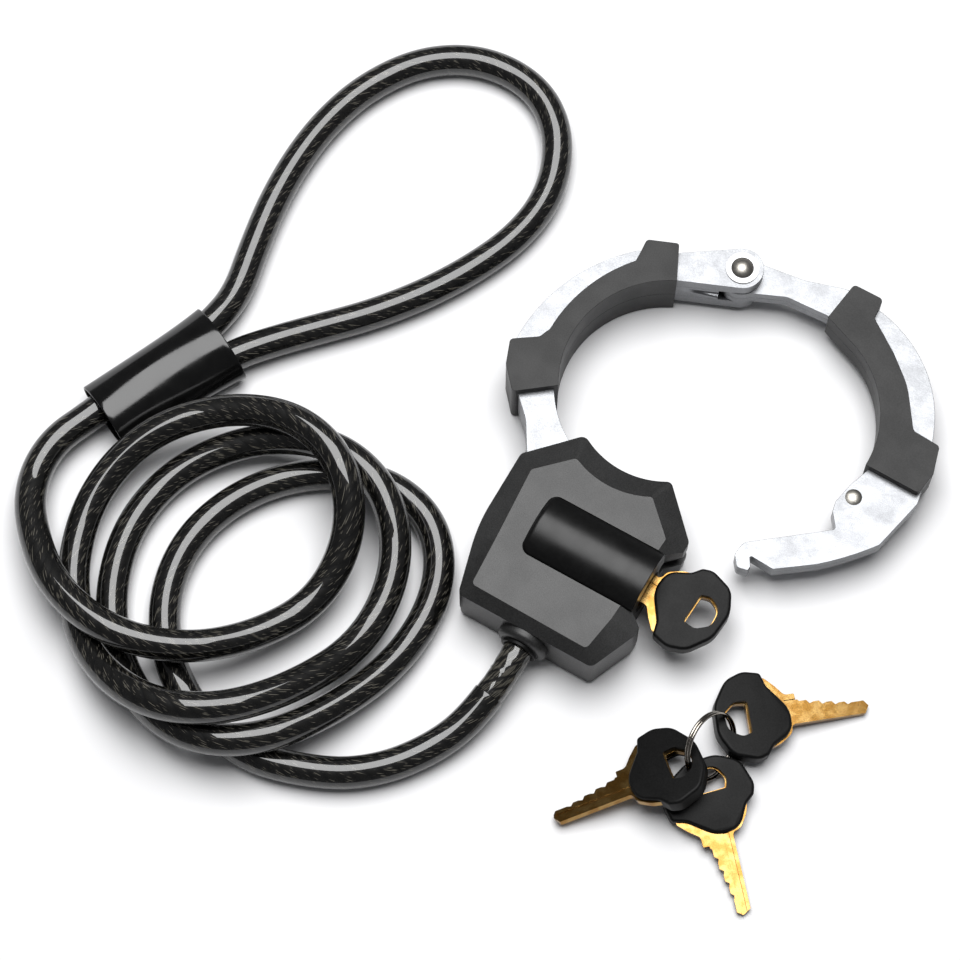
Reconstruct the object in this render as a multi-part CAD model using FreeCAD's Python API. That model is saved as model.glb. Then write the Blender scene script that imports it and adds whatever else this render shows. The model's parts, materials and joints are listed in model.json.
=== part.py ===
"""Keyed cuff lock on a looped steel cable, with its keys.

A hinged steel cuff closes around a bar, and its hook is caught in the lock body by a sliding
bolt. A key turns a pin-tumbler plug, whose crank drives the bolt. A jacketed cable leaves the
body through a gland, lies in loose turns and ends in an eye closed by a crimped ferrule.

Frame, in millimetres: the origin is on the underside of the lock body, below the crossing of
the key axis and the centre line of the cuff. +X runs out of the keyway, +Y towards the pivot of
the cuff, +Z up. The model stands as it lies on a table: cuff open, key in, lock unlocked.
"""
import FreeCAD, Part
import math
import os
from FreeCAD import Vector

# Heights of the lock body.
PARTING_Z = 5.8
RIM_Z = 20.0
DECK_Z = 23.0
BOTTOM_BEVEL = 1.5
LOWER_SHELL_STEP = 0.3
SHELL_WALL = 2.0
SHELL_FLOOR = 2.2
CASE_TOP_Z = 17.8
CASE_SPLIT_Z = 11.5
CASE_CLEARANCE = 0.3
ROOF_POCKET_Z = 20.6
FIT = 0.05
CLEARANCE = 0.1

# Outline of the lock body seen from above: corner x, corner y, corner radius.
BODY_CORNERS = [
    (-24.1, -32.0, 2.5),
    (23.6, -32.0, 2.5),
    (30.2, -16.6, 2.5),
    (30.3, 18.8, 2.5),
    (15.6, 33.9, 2.0),
    (0.0, 25.36, 28.9),
    (-15.6, 33.9, 2.5),
    (-30.3, 18.4, 2.5),
    (-30.3, -8.9, 60.0),
]
# Inner edge of the sloping border around the deck, corner for corner with the outline.
DECK_CORNERS = [
    (-21.6, -27.8, 1.5),
    (19.6, -28.3, 1.5),
    (21.6, -16.0, 1.5),
    (23.7, 15.3, 1.5),
    (13.2, 25.4, 1.5),
    (0.0, 18.6, 36.0),
    (-13.8, 24.8, 1.5),
    (-24.3, 14.4, 1.5),
    (-22.6, -10.0, 60.0),
]
# The end recess around the keyway, cut into the right side of the body.
END_FACE_X = 25.9
RECESS_LOW_Y = -10.3
RECESS_HIGH_Y = 10.8
RECESS_LOW_ANGLE = -36.0
RECESS_HIGH_ANGLE = 45.0

# Barrel cover over the cylinder.
BARREL_LEFT_X = -14.5
BARREL_HALF_WIDTH = 10.8
BARREL_TOP_Z = 27.6
BARREL_RADIUS = 15.2
BARREL_WALL = 1.2
BARREL_SEAT_Z = 21.6
BARREL_CORNER_RADIUS = 3.5
BARREL_END_ROUND = 2.0
WINDOW_LEFT_X = -12.5
WINDOW_RIGHT_X = 24.4
WINDOW_HALF_WIDTH = 8.8

# Cylinder, plug and pins.
KEY_AXIS_Z = 13.5
CYLINDER_RADIUS = 7.2
CYLINDER_FRONT_X = 25.2
CYLINDER_BACK_WALL = 1.5
CYLINDER_FLAT_Y = 6.65
BIBLE_HALF_WIDTH = 3.5
BIBLE_TOP_Z = 25.2
BIBLE_FRONT_X = 24.2
PLUG_RADIUS = 6.0
PLUG_FACE_X = 24.8
PIN_RADIUS = 1.2
PIN_COUNT = 5
PIN_PITCH = 4.0
FIRST_PIN_DEPTH = 2.6
DRIVER_PIN_LENGTH = 2.5
PIN_GAP = 0.2
SPRING_LENGTH = 3.0
SPRING_WIRE = 0.4
CHAMBER_COVER_HALF_WIDTH = 2.2
CHAMBER_COVER_THICKNESS = 0.7
CYLINDER_PIN_RADIUS = 1.25
CYLINDER_PIN_X = 7.0

# Cam and bolt behind the plug.
TAIL_RADIUS = 2.5
TAIL_END_X = -5.5
CLIP_THICKNESS = 0.6
CLIP_RADIUS = 3.8
CAM_RADIUS = 4.5
CAM_THICKNESS = 2.5
CRANK_RADIUS = 2.475
CRANK_PIN_RADIUS = 1.2
CRANK_PIN_LENGTH = 4.0
CRANK_START_ANGLE = 135.0
BOLT_LEFT_X = -12.2
BOLT_RIGHT_X = -8.4
BOLT_LOW_Z = 8.75
BOLT_HIGH_Z = 14.25
BOLT_TAIL_Y = -6.5
BOLT_NOSE_Y = 8.0
BOLT_NOSE_CHAMFER = 1.0
BOLT_TRAVEL = 3.5
BOLT_BLOCK_TOP_Z = 16.8
BOLT_CHEEK = 1.6
BOLT_SLOT_LOW_Z = 13.85
BOLT_SLOT_CLEARANCE = 0.12

# Cuff: pivot, ring centres and the two arms.
PIVOT = (0.0, 110.0)
OPEN_ANGLE = 37.3
FIXED_RING_CENTRE = (0.0, 62.0)
SWING_RING_CENTRE = (0.5, 61.5)
STEEL_INNER_RADIUS = 37.4
FIXED_COVER_INNER_RADIUS = 36.0
SWING_COVER_INNER_RADIUS = 36.1
EAR_RADIUS = 7.0
HEEL_RADIUS = 7.3
HOOK_OUTER_RADIUS = 101.6
HEEL_ROOM = 9.6
EAR_THICKNESS = 4.6
MIDDLE_PLATE_THICKNESS = 3.4
SWING_PLATE_THICKNESS = 3.2
COVER_WALL = 3.0
PIVOT_RADIUS = 3.0
PIVOT_DOME_RADIUS = 3.65
PIVOT_DOME_HEIGHT = 1.5
WASHER_RADIUS = 5.4
WASHER_THICKNESS = 0.5
RIVET_RADIUS = 1.8
HOOK_RIVET_RADIUS = 1.6
HOOK_RIVET_HEAD_RADIUS = 2.7
HOOK_RIVET_HEAD_HEIGHT = 0.7
ANCHOR_PIN_RADIUS = 2.0
ANCHOR_PIN_LOW_Z = 2.9
ANCHOR_PIN_HIGH_Z = 17.6

FIXED_ARM = [
    (PIVOT[0], PIVOT[1], EAR_RADIUS, -68.0, 123.0),
    (-22.0, 103.5, 3.0),
    (7.9, 55.2, 59.25, 133.0, 186.0),
    (-47.5, 42.5, 6.0),
    (-42.0, 36.5, 6.0),
    (-34.8, 29.5, 12.0),
    (-28.9, 19.9, 1.0),
    (-22.4, 13.7, 1.0),
    (-11.8, 24.5, 1.0),
    (FIXED_RING_CENTRE[0], FIXED_RING_CENTRE[1], STEEL_INNER_RADIUS, 240.0, 112.0),
]
FIXED_COVER = [
    (-21.5, 106.3, 1.0),
    (-31.3, 102.3, 1.5),
    (-30.9, 97.4, 1.5),
    (9.4, 60.3, 52.4, 140.0, 181.0),
    (-44.6, 55.4, 2.0),
    (-52.4, 50.0, 1.5),
    (-49.3, 41.9, 1.5),
    (-42.8, 34.5, 1.5),
    (FIXED_RING_CENTRE[0], FIXED_RING_CENTRE[1], FIXED_COVER_INNER_RADIUS, 210.5, 116.0),
]
# The swinging arm and its cover are drawn closed and turned open about the pivot.
SWING_ARM = [
    (PIVOT[0], PIVOT[1], HEEL_RADIUS, 58.0, 285.0),
    (13.6, 100.1, 2.0),
    (26.3, 91.4, 3.0),
    (SWING_RING_CENTRE[0], SWING_RING_CENTRE[1], STEEL_INNER_RADIUS, 25.0, -39.0),
    (23.2, 33.8, 4.0),
    (17.5, 28.8, 2.0),
    (16.0, 25.6, 1.5),
    (16.0, 19.5, 1.0),
    (-9.1, 19.0, 4.0),
    (-13.7, 18.9, 3.5),
    (-17.0, 15.3, 2.0),
    (-17.0, 11.0, 1.5),
    (-13.7, 9.5, 0.4),
    (-12.7, 10.7, 0.4),
    (-12.3, 14.4, 0.5),
    (-5.8, 8.9, 1.0),
    (PIVOT[0], PIVOT[1], HOOK_OUTER_RADIUS, -85.5, -73.5),
    (43.1, 24.5, 6.0),
    (47.5, 33.0, 6.0),
    (51.0, 43.0, 3.0),
    (9.5, 61.0, 45.0, -18.0, 43.0),
    (33.4, 100.4, 6.0),
    (20.1, 105.3, 8.0),
    (8.0, 112.2, 1.5),
]
SWING_COVER = [
    (43.5, 27.1, 1.5),
    (49.3, 32.8, 1.5),
    (52.9, 41.9, 1.5),
    (45.6, 48.2, 2.0),
    (46.4, 63.7, 30.0),
    (43.9, 75.5, 20.0),
    (39.8, 88.2, 1.2),
    (43.8, 94.2, 1.5),
    (35.3, 100.6, 1.5),
    (25.0, 90.4, 0.5),
    (SWING_RING_CENTRE[0], SWING_RING_CENTRE[1], SWING_COVER_INNER_RADIUS, 30.0, -39.0),
]
FIXED_RIVET_PLACES = [(-40.0, 69.0), (-30.5, 87.5)]
SWING_RIVET_PLACES = [(37.0, 84.0), (41.5, 52.0)]
HOOK_RIVET_PLACE = (23.4, 29.4)
ANCHOR_PIN_PLACES = [(-23.2, 19.0), (-17.6, 25.2)]

# Way of the hook through the body: radii about the pivot.
WAY_LOW_Z = 8.0
WAY_HIGH_Z = 15.0
WAY_INNER_RADIUS = 90.4
WAY_BARB_RADIUS = 102.0
WAY_MOUTH_RADIUS = 105.3
WAY_TIP_X = -17.6
WAY_SHOULDER_X = 15.7

# Fasteners that hold the two halves of the case.
SCREW_PLACES = [(-20.0, -22.0), (20.0, -22.0), (-22.0, 2.0), (6.5, 24.3)]
SCREW_RADIUS = 1.5
SCREW_HEAD_RADIUS = 2.75
SCREW_HEAD_HEIGHT = 2.0
SCREW_TOP_Z = 16.5

# Gland and cable.
CABLE_RADIUS = 5.15
NECK_RADIUS = 4.8
GLAND_Z = 11.4
GLAND_RADIUS = 8.6
GLAND_WALL = 2.0
GLAND_FRONT_Y = -35.2
GLAND_END_ROUND = 2.0
GROMMET_LIP = 1.2
ANCHOR_RADIUS = 6.3
ANCHOR_LENGTH = 7.0
ANCHOR_BACK_Y = -21.0

# Key: the blade lies along its own x axis. Heights are counted from the back edge to the cuts,
# groove and recess as low height, high height and depth.
KEY_STOP = 4.6
KEY_LENGTH = 27.4
KEY_THICKNESS = 2.0
KEY_BACK_Y = 5.9
KEY_SHOULDER_HEIGHT = 10.0
KEY_BLADE_HEIGHT = 8.0
KEY_SEATS = [7.4, 6.6, 5.8, 5.0, 4.4]
KEY_DIP = 0.45
KEY_DIP_X = 2.2
KEY_SEAT_HALF = 0.9
KEY_FIRST_SEAT_HALF = 1.45
KEY_RAMP_X = 1.9
KEY_GROOVE = (1.2, 3.1, 0.5)
KEY_RECESS = (2.7, 8.2, 0.4)
GROOVE_END_X = -0.8
KEYWAY_CLEARANCE = 0.06
KEY_HEAD = [
    (-1.4, -4.1, 2.0),
    (1.0, -7.4, 5.0),
    (3.9, -10.6, 1.5),
    (15.4, -10.6, 8.0),
    (20.6, -2.6, 9.0),
    (19.8, 8.0, 8.0),
    (9.0, 13.2, 1.5),
    (3.0, 11.4, 6.0),
    (-1.2, 8.6, 4.0),
    (-1.6, 5.9, 2.0),
]
BOW_THICKNESS = 5.5
BOW_ROUND = 1.0
BOW_EDGE_X = PLUG_FACE_X + KEY_STOP
BOW_CORNERS = [
    (-2.0, 1.2, 9.0),
    (3.9, -7.4, 4.0),
    (5.0, -12.0, 1.6),
    (10.5, -13.4, 6.0),
    (16.5, -11.4, 7.0),
    (22.0, -3.6, 9.0),
    (22.9, 6.0, 9.0),
    (19.5, 13.2, 6.0),
    (11.5, 16.0, 5.0),
    (8.2, 14.9, 1.5),
    (5.8, 12.0, 3.0),
    (-0.9, 8.6, 6.0),
]
BOW_HOLE = [
    (11.2, -3.4, 1.0),
    (15.4, -3.9, 3.0),
    (19.6, -0.6, 4.0),
    (19.3, 5.4, 4.0),
    (15.0, 7.9, 3.0),
    (11.9, 7.0, 1.0),
]
BRASS_HOLE_INSET = 0.4

# Spare keys on a split ring: x, y, z of the bow's edge, angle, tilt of the tip downwards, roll.
SPARE_KEY_PLACES = [
    (80.09, -9.63, 4.64, 221.0, 7.77, 3.0),
    (50.95, -53.33, 7.45, 48.5, 12.72, 159.6),
    (79.89, -54.71, 3.76, 132.3, 5.57, 180.0),
]
# The ring's two turns lie side by side, leaning over by a tilt towards a direction.
RING_RADIUS = 10.8
RING_WIRE = 1.1
RING_TURN_PITCH = 1.0
RING_CENTRE = (66.95, -33.05, 10.19)
RING_TILT = 56.4
RING_LEAN_DIRECTION = -2.1

# Cable, from the gland to its end in the ferrule: free stretches by hand, turns by rows.
# A row holds the turn, the centre and the half widths of the loose winding at that turn.
WINDING_ROWS = [
    (0.4, -119.0, -54.0, 48.0, 46.0),
    (0.9, -110.0, -52.0, 39.5, 42.0),
    (1.4, -90.9, -58.8, 53.0, 50.3),
    (1.9, -93.5, -56.5, 44.0, 53.5),
    (2.4, -79.0, -63.5, 52.5, 53.0),
    (2.9, -75.5, -54.5, 38.0, 54.5),
    (3.4, -60.0, -57.0, 49.0, 46.0),
    (4.0, -58.5, -57.0, 53.0, 51.0),
]
# Where a turn rises over the ones below it: angle along the winding, height, half width.
WINDING_HUMPS = [
    (272.0, 14.8, 112.0),
    (430.0, 21.6, 92.0),
    (512.0, 8.6, 54.0),
    (657.0, 20.6, 86.0),
    (795.0, 12.0, 84.0),
    (1014.0, 12.0, 70.0),
]
WINDING_STEP = 30.0
WINDING_FIRST = 1350.0
WINDING_LAST = 210.0
WINDING_GAIN = 1.035
FLOOR_Z = 5.2
NECK_POINTS = [
    (0.0, -25.0, 11.4),
    (0.0, -39.8, 11.4),
    (-0.15, -46.4, 10.14),
    (-1.0, -52.5, 8.8),
]
LEAD_POINTS = [
    (-1.0, -52.5, 8.8),
    (-2.4, -62.5, 6.6),
    (-8.0, -75.5, 5.3),
    (-18.0, -89.0, 5.2),
    (-32.5, -99.5, 5.2),
]
TAIL_POINTS = [
    (-163.8, -62.5, 8.2),
    (-164.6, -48.5, 7.6),
    (-159.2, -35.5, 7.3),
    (-152.9, -18.5, 7.3),
    (-146.0, -1.5, 7.3),
    (-142.2, 11.5, 6.9),
    (-140.9, 25.0, 5.4),
    (-144.9, 42.0, 5.2),
    (-148.2, 60.0, 5.2),
    (-149.2, 78.0, 5.2),
    (-147.7, 94.5, 5.2),
    (-143.0, 111.0, 5.2),
    (-133.4, 127.0, 5.2),
    (-120.0, 137.2, 5.2),
    (-105.2, 140.8, 5.2),
    (-91.0, 138.4, 5.2),
    (-80.0, 130.0, 5.2),
    (-72.8, 117.5, 5.2),
    (-69.8, 103.0, 5.2),
    (-72.2, 87.0, 5.2),
    (-79.0, 71.0, 5.2),
    (-88.0, 55.5, 5.2),
    (-99.5, 40.5, 5.2),
    (-111.5, 28.0, 5.3),
    (-122.5, 16.0, 5.9),
    (-130.8, 5.0, 7.2),
    (-137.3, -9.2, 7.3),
    (-144.0, -23.7, 7.3),
]

# Crimped ferrule and its sleeve at the end of the cable.
FERRULE_FOOT = (-155.0, -34.0)
FERRULE_HEAD = (-135.7, 7.4)
FERRULE_Z = 7.4
FERRULE_START = 14.0
FERRULE_END = 37.0
FERRULE_WALL = 1.2
STRAND_OFFSET = 5.65
SLEEVE_FOOT_HALF_WIDTH = 12.3
SLEEVE_HEAD_HALF_WIDTH = 14.3
SLEEVE_HALF_HEIGHT = 7.35
SLEEVE_WALL = 0.85


def polar(centre, radius, angle):
    """Point at an angle in degrees on a circle, as a vector in the plane z = 0."""
    turn = math.radians(angle)
    return Vector(centre[0] + radius * math.cos(turn), centre[1] + radius * math.sin(turn), 0)


def item_ends(item):
    """First and last point of an outline item: a corner (x, y, r) or an arc (x, y, r, a0, a1)."""
    if len(item) == 3:
        corner = Vector(item[0], item[1], 0)
        return corner, corner
    centre = (item[0], item[1])
    return polar(centre, item[2], item[3]), polar(centre, item[2], item[4])


def fillet_reaches(items):
    """Distance from each corner to the ends of its rounding, kept within the corner's sides."""
    count = len(items)
    sides = []
    reaches = []
    for index, item in enumerate(items):
        before = item_ends(items[index - 1])[1]
        here, leaving = item_ends(item)
        after = item_ends(items[(index + 1) % count])[0]
        sides.append((after - leaving).Length)
        if len(item) == 5:
            reaches.append(0.0)
            continue
        turn = (here - before).getAngle(after - here)
        reaches.append(item[2] * math.tan(turn / 2))
    for index in range(count):
        following = (index + 1) % count
        wanted = reaches[index] + reaches[following]
        room = 0.999 * sides[index]
        if wanted > room > 0:
            reaches[index] *= room / wanted
            reaches[following] *= room / wanted
    return reaches


def outline_wire(items, z=0.0):
    """Closed wire of straight lines, rounded corners and arcs through the outline's items."""
    count = len(items)
    reaches = fillet_reaches(items)
    pieces = []
    for index, item in enumerate(items):
        first, last = item_ends(item)
        if len(item) == 5:
            middle = polar((item[0], item[1]), item[2], (item[3] + item[4]) / 2)
            pieces.append((first, last, Part.Arc(first, middle, last)))
            continue
        before = (item_ends(items[index - 1])[1] - first).normalize()
        after = (item_ends(items[(index + 1) % count])[0] - last).normalize()
        reach = reaches[index]
        half_angle = before.getAngle(after) / 2
        if reach < 1e-4 or half_angle > math.radians(89.9):
            pieces.append((first, first, None))
            continue
        radius = reach * math.tan(half_angle)
        bisector = (before + after).normalize()
        start = first + before * reach
        end = first + after * reach
        middle = first + bisector * (radius / math.sin(half_angle) - radius)
        pieces.append((start, end, Part.Arc(start, middle, end)))
    edges = []
    for index, (start, end, curve) in enumerate(pieces):
        if curve is not None:
            edges.append(curve.toShape())
        following = pieces[(index + 1) % count][0]
        if (following - end).Length > 1e-5:
            edges.append(Part.LineSegment(end, following).toShape())
    wire = Part.Wire(edges)
    wire.translate(Vector(0, 0, z))
    return wire


def prism(items, low, high):
    """Solid between two heights with the given outline."""
    return Part.Face(outline_wire(items, low)).extrude(Vector(0, 0, high - low))


def inset(corners, distance, least_radius=0.3):
    """Counterclockwise corner outline moved inwards, or outwards if the distance is negative."""
    count = len(corners)
    moved = []
    for index, (x, y, radius) in enumerate(corners):
        before = corners[index - 1]
        after = corners[(index + 1) % count]
        into = Vector(x - before[0], y - before[1], 0).normalize()
        out_of = Vector(after[0] - x, after[1] - y, 0).normalize()
        into_side = Vector(-into.y, into.x, 0)
        out_side = Vector(-out_of.y, out_of.x, 0)
        shift = (into_side + out_side) * (distance / (1 + into_side.dot(out_side)))
        convex = into.x * out_of.y - into.y * out_of.x > 0
        new_radius = radius - distance if convex else radius + distance
        moved.append((x + shift.x, y + shift.y, max(new_radius, least_radius)))
    return moved


def grown_prism(items, low, high, distance):
    """Prism whose outline is offset outwards by a clearance."""
    face = Part.Face(outline_wire(items, low)).makeOffset2D(distance)
    return face.extrude(Vector(0, 0, high - low))


def ruled_solid(low_wire, high_wire):
    """Solid with flat slopes between two outlines that have the same edges."""
    return Part.makeLoft([low_wire, high_wire], True, True)


def box(low, high):
    """Block between two corners."""
    size = Vector(*high) - Vector(*low)
    return Part.makeBox(size.x, size.y, size.z, Vector(*low))


def rod(radius, start, end):
    """Cylinder from one point to another."""
    axis = Vector(*end) - Vector(*start)
    return Part.makeCylinder(radius, axis.Length, Vector(*start), axis)


def tube(inner, outer, start, end):
    """Hollow cylinder from one point to another."""
    return rod(outer, start, end).cut(rod(inner, start, end))


def joined(shapes):
    """Single shape from several that touch, without the seams between them."""
    whole = shapes[0]
    for shape in shapes[1:]:
        whole = whole.fuse(shape)
    return whole.removeSplitter()


def turned_open(shape):
    """The shape turned from the closed cuff to the open cuff."""
    turned = shape.copy()
    turned.rotate(Vector(PIVOT[0], PIVOT[1], 0), Vector(0, 0, 1), OPEN_ANGLE)
    return turned


def recess_line(angle, corner_y, x):
    """Height along y of a side of the end recess at the given x."""
    return corner_y + (x - END_FACE_X) * math.tan(math.radians(angle))


def notched_corners():
    """Body outline with the end recess around the keyway."""
    side_x = BODY_CORNERS[2][0]
    low = (side_x, recess_line(RECESS_LOW_ANGLE, RECESS_LOW_Y, side_x), 0.8)
    high = (side_x, recess_line(RECESS_HIGH_ANGLE, RECESS_HIGH_Y, side_x), 0.8)
    inner = [(END_FACE_X, RECESS_LOW_Y, 0.5), (END_FACE_X, RECESS_HIGH_Y, 0.5)]
    return BODY_CORNERS[:3] + [low] + inner + [high] + BODY_CORNERS[3:]


def end_recess():
    """Cutter for the end recess, through the whole height."""
    far_x = END_FACE_X + 20
    corners = [
        (END_FACE_X, RECESS_LOW_Y, 0.5),
        (far_x, recess_line(RECESS_LOW_ANGLE, RECESS_LOW_Y, far_x), 0),
        (far_x, recess_line(RECESS_HIGH_ANGLE, RECESS_HIGH_Y, far_x), 0),
        (END_FACE_X, RECESS_HIGH_Y, 0.5),
    ]
    return prism(corners, -1, DECK_Z + 10)


def hook_way():
    """Space that the hook and shoulder of the swinging arm sweep through the body."""
    pivot_x, pivot_y = PIVOT

    def angle_at(radius, x):
        return -90.0 + math.degrees(math.asin((x - pivot_x) / radius))

    items = [
        (pivot_x, pivot_y, WAY_BARB_RADIUS, angle_at(WAY_BARB_RADIUS, WAY_TIP_X),
         angle_at(WAY_BARB_RADIUS, 3.0)),
        (20.0, 6.9, 0),
        (pivot_x, pivot_y, WAY_MOUTH_RADIUS, angle_at(WAY_MOUTH_RADIUS, 21.0),
         angle_at(WAY_MOUTH_RADIUS, 45.0)),
        (45.0, 50.0, 0),
        (WAY_SHOULDER_X, 50.0, 0),
        (pivot_x, pivot_y, WAY_INNER_RADIUS, angle_at(WAY_INNER_RADIUS, WAY_SHOULDER_X),
         angle_at(WAY_INNER_RADIUS, WAY_TIP_X)),
    ]
    return prism(items, WAY_LOW_Z, WAY_HIGH_Z)


def arm_root_space():
    """Pocket in the body for the root of the fixed arm."""
    low = CASE_SPLIT_Z - EAR_THICKNESS - MIDDLE_PLATE_THICKNESS
    high = CASE_SPLIT_Z + EAR_THICKNESS + MIDDLE_PLATE_THICKNESS
    return grown_prism(FIXED_ARM, low - CLEARANCE, high + CLEARANCE, CLEARANCE)


def gland_boss():
    """Round boss on the body that the cable leaves through."""
    boss = rod(GLAND_RADIUS, (0, BODY_CORNERS[0][1] + 6, GLAND_Z), (0, GLAND_FRONT_Y, GLAND_Z))
    rims = [edge for edge in boss.Edges if abs(edge.BoundBox.YMax - GLAND_FRONT_Y) < 0.01]
    return boss.makeFillet(GLAND_END_ROUND, rims)


def gland_bore():
    """Space for the rubber grommet in the boss."""
    inner_y = BODY_CORNERS[0][1] + SHELL_WALL + CASE_CLEARANCE
    return rod(GLAND_RADIUS - GLAND_WALL, (0, inner_y + 4, GLAND_Z), (0, GLAND_FRONT_Y - 1, GLAND_Z))


def upper_shell():
    """Upper moulding: sloping border, deck, seat and window for the barrel cover."""
    walls = prism(BODY_CORNERS, PARTING_Z, RIM_Z)
    slope = ruled_solid(outline_wire(BODY_CORNERS, RIM_Z), outline_wire(DECK_CORNERS, DECK_Z))
    boss = gland_boss().common(box((-20, -60, PARTING_Z), (20, 0, 40)))
    shell = joined([walls, slope, boss]).cut(end_recess())
    cavity = prism(inset(notched_corners(), SHELL_WALL), PARTING_Z - 1, CASE_TOP_Z + CASE_CLEARANCE)
    pocket = prism(inset(DECK_CORNERS, 2.4), CASE_TOP_Z, ROOF_POCKET_Z)
    seat = barrel_plan(CLEARANCE, BARREL_SEAT_Z, DECK_Z + 5)
    window = box((WINDOW_LEFT_X, -WINDOW_HALF_WIDTH, CASE_TOP_Z),
                 (WINDOW_RIGHT_X, WINDOW_HALF_WIDTH, DECK_Z))
    front = rod(CYLINDER_RADIUS + CLEARANCE, (10, 0, KEY_AXIS_Z), (30, 0, KEY_AXIS_Z))
    for space in (cavity, pocket, seat, window, front, hook_way(), arm_root_space(), gland_bore()):
        shell = shell.cut(space)
    return shell


def lower_shell():
    """Lower moulding: a tray that closes the body from below."""
    inner = inset(BODY_CORNERS, LOWER_SHELL_STEP)
    bevel = ruled_solid(outline_wire(inset(inner, BOTTOM_BEVEL), 0), outline_wire(inner, BOTTOM_BEVEL))
    walls = prism(inner, BOTTOM_BEVEL, PARTING_Z)
    boss = gland_boss().common(box((-20, -60, 0), (20, 0, PARTING_Z)))
    shell = joined([bevel, walls, boss]).cut(end_recess())
    cavity = prism(inset(notched_corners(), SHELL_WALL), SHELL_FLOOR, PARTING_Z + 1)
    for space in (cavity, arm_root_space(), gland_bore()):
        shell = shell.cut(space)
    return shell


def barrel_plan(growth, low, high):
    """Outline of the barrel cover seen from above, rounded at its left corners."""
    left = BARREL_LEFT_X - growth
    half = BARREL_HALF_WIDTH + growth
    corners = [
        (left, -half, BARREL_CORNER_RADIUS),
        (END_FACE_X + growth, -half, 0),
        (END_FACE_X + growth, half, 0),
        (left, half, BARREL_CORNER_RADIUS),
    ]
    return prism(corners, low, high)


def barrel_cover():
    """Glossy bulged cover over the cylinder."""
    axis_z = BARREL_TOP_Z - BARREL_RADIUS
    bulge = rod(BARREL_RADIUS, (BARREL_LEFT_X, 0, axis_z), (END_FACE_X, 0, axis_z))
    cover = bulge.common(barrel_plan(0, BARREL_SEAT_Z, BARREL_TOP_Z + 1))
    top_edges = [
        edge for edge in cover.Edges
        if edge.BoundBox.XMax < BARREL_LEFT_X + BARREL_CORNER_RADIUS + 0.1
        and edge.BoundBox.ZMin > BARREL_SEAT_Z + 0.5
        and edge.BoundBox.YLength > 1.0
    ]
    cover = cover.makeFillet(BARREL_END_ROUND, top_edges)
    hollow = rod(BARREL_RADIUS - BARREL_WALL, (BARREL_LEFT_X + 1.6, 0, axis_z),
                 (WINDOW_RIGHT_X + 0.2, 0, axis_z))
    room = box((BARREL_LEFT_X, -BARREL_HALF_WIDTH + BARREL_WALL, 0),
               (END_FACE_X, BARREL_HALF_WIDTH - BARREL_WALL, 40))
    return cover.cut(hollow.common(room))


def case_blank(low, high):
    """Half of the inner metal case before its pockets are cut."""
    return prism(inset(notched_corners(), SHELL_WALL + CASE_CLEARANCE), low, high)


def mechanism_spaces():
    """Everything that is cut from both halves of the case."""
    axis = KEY_AXIS_Z
    bore = rod(CYLINDER_RADIUS + FIT, (-FIT, 0, axis), (30, 0, axis))
    bible = box((-FIT, -BIBLE_HALF_WIDTH - FIT, axis), (30, BIBLE_HALF_WIDTH + FIT, 40))
    cam_room = rod(CAM_RADIUS + 0.3, (cam_left_x() - 0.3, 0, axis), (0, 0, axis))
    bolt_room = box((BOLT_LEFT_X - CLEARANCE, BOLT_TAIL_Y - CLEARANCE, BOLT_LOW_Z - CLEARANCE),
                    (BOLT_RIGHT_X + 0.2, BOLT_NOSE_Y + 3, BOLT_HIGH_Z + CLEARANCE))
    block_room = box((BOLT_LEFT_X - CLEARANCE, BOLT_TAIL_Y, BOLT_HIGH_Z),
                     (BOLT_RIGHT_X + 0.2, -BOLT_TAIL_Y, CASE_TOP_Z - 0.4))
    anchor = rod(ANCHOR_RADIUS + FIT, (0, ANCHOR_BACK_Y + 0.1, GLAND_Z),
                 (0, ANCHOR_BACK_Y - ANCHOR_LENGTH - 0.1, GLAND_Z))
    cable = rod(CABLE_RADIUS + CLEARANCE, (0, ANCHOR_BACK_Y, GLAND_Z), (0, -40, GLAND_Z))
    pin = cylinder_pin_shape(FIT)
    return [bore, bible, cam_room, bolt_room, block_room, anchor, cable, pin, hook_way(), arm_root_space()]


def cut_screw_holes(half):
    """Half of the case with the holes and head pockets of its screws."""
    for x, y in SCREW_PLACES:
        half = half.cut(rod(SCREW_RADIUS + FIT, (x, y, SHELL_FLOOR - 1), (x, y, SCREW_TOP_Z + 0.3)))
        head_top = SHELL_FLOOR + SCREW_HEAD_HEIGHT + CASE_CLEARANCE
        half = half.cut(rod(SCREW_HEAD_RADIUS + 0.15, (x, y, SHELL_FLOOR - 1), (x, y, head_top)))
    return half


def cut_anchor_pins(half):
    """Half of the case with the blind holes of the pins that hold the fixed arm."""
    for x, y in ANCHOR_PIN_PLACES:
        half = half.cut(rod(ANCHOR_PIN_RADIUS + FIT, (x, y, ANCHOR_PIN_LOW_Z - FIT),
                            (x, y, ANCHOR_PIN_HIGH_Z + FIT)))
    return half


def case_half(low, high):
    """One half of the inner case."""
    half = case_blank(low, high)
    for space in mechanism_spaces():
        half = half.cut(space)
    return cut_anchor_pins(cut_screw_holes(half))


def case_screws():
    """Screws that hold the halves of the case together from below."""
    screws = []
    for x, y in SCREW_PLACES:
        head_low = SHELL_FLOOR + CASE_CLEARANCE
        head_high = head_low + SCREW_HEAD_HEIGHT
        head = rod(SCREW_HEAD_RADIUS, (x, y, head_low), (x, y, head_high))
        drive = rod(1.2, (x, y, head_low - 1), (x, y, head_low + 1.1))
        shank = rod(SCREW_RADIUS, (x, y, head_high - 0.5), (x, y, SCREW_TOP_Z))
        screws.append(joined([head, shank]).cut(drive))
    return Part.makeCompound(screws)


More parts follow.
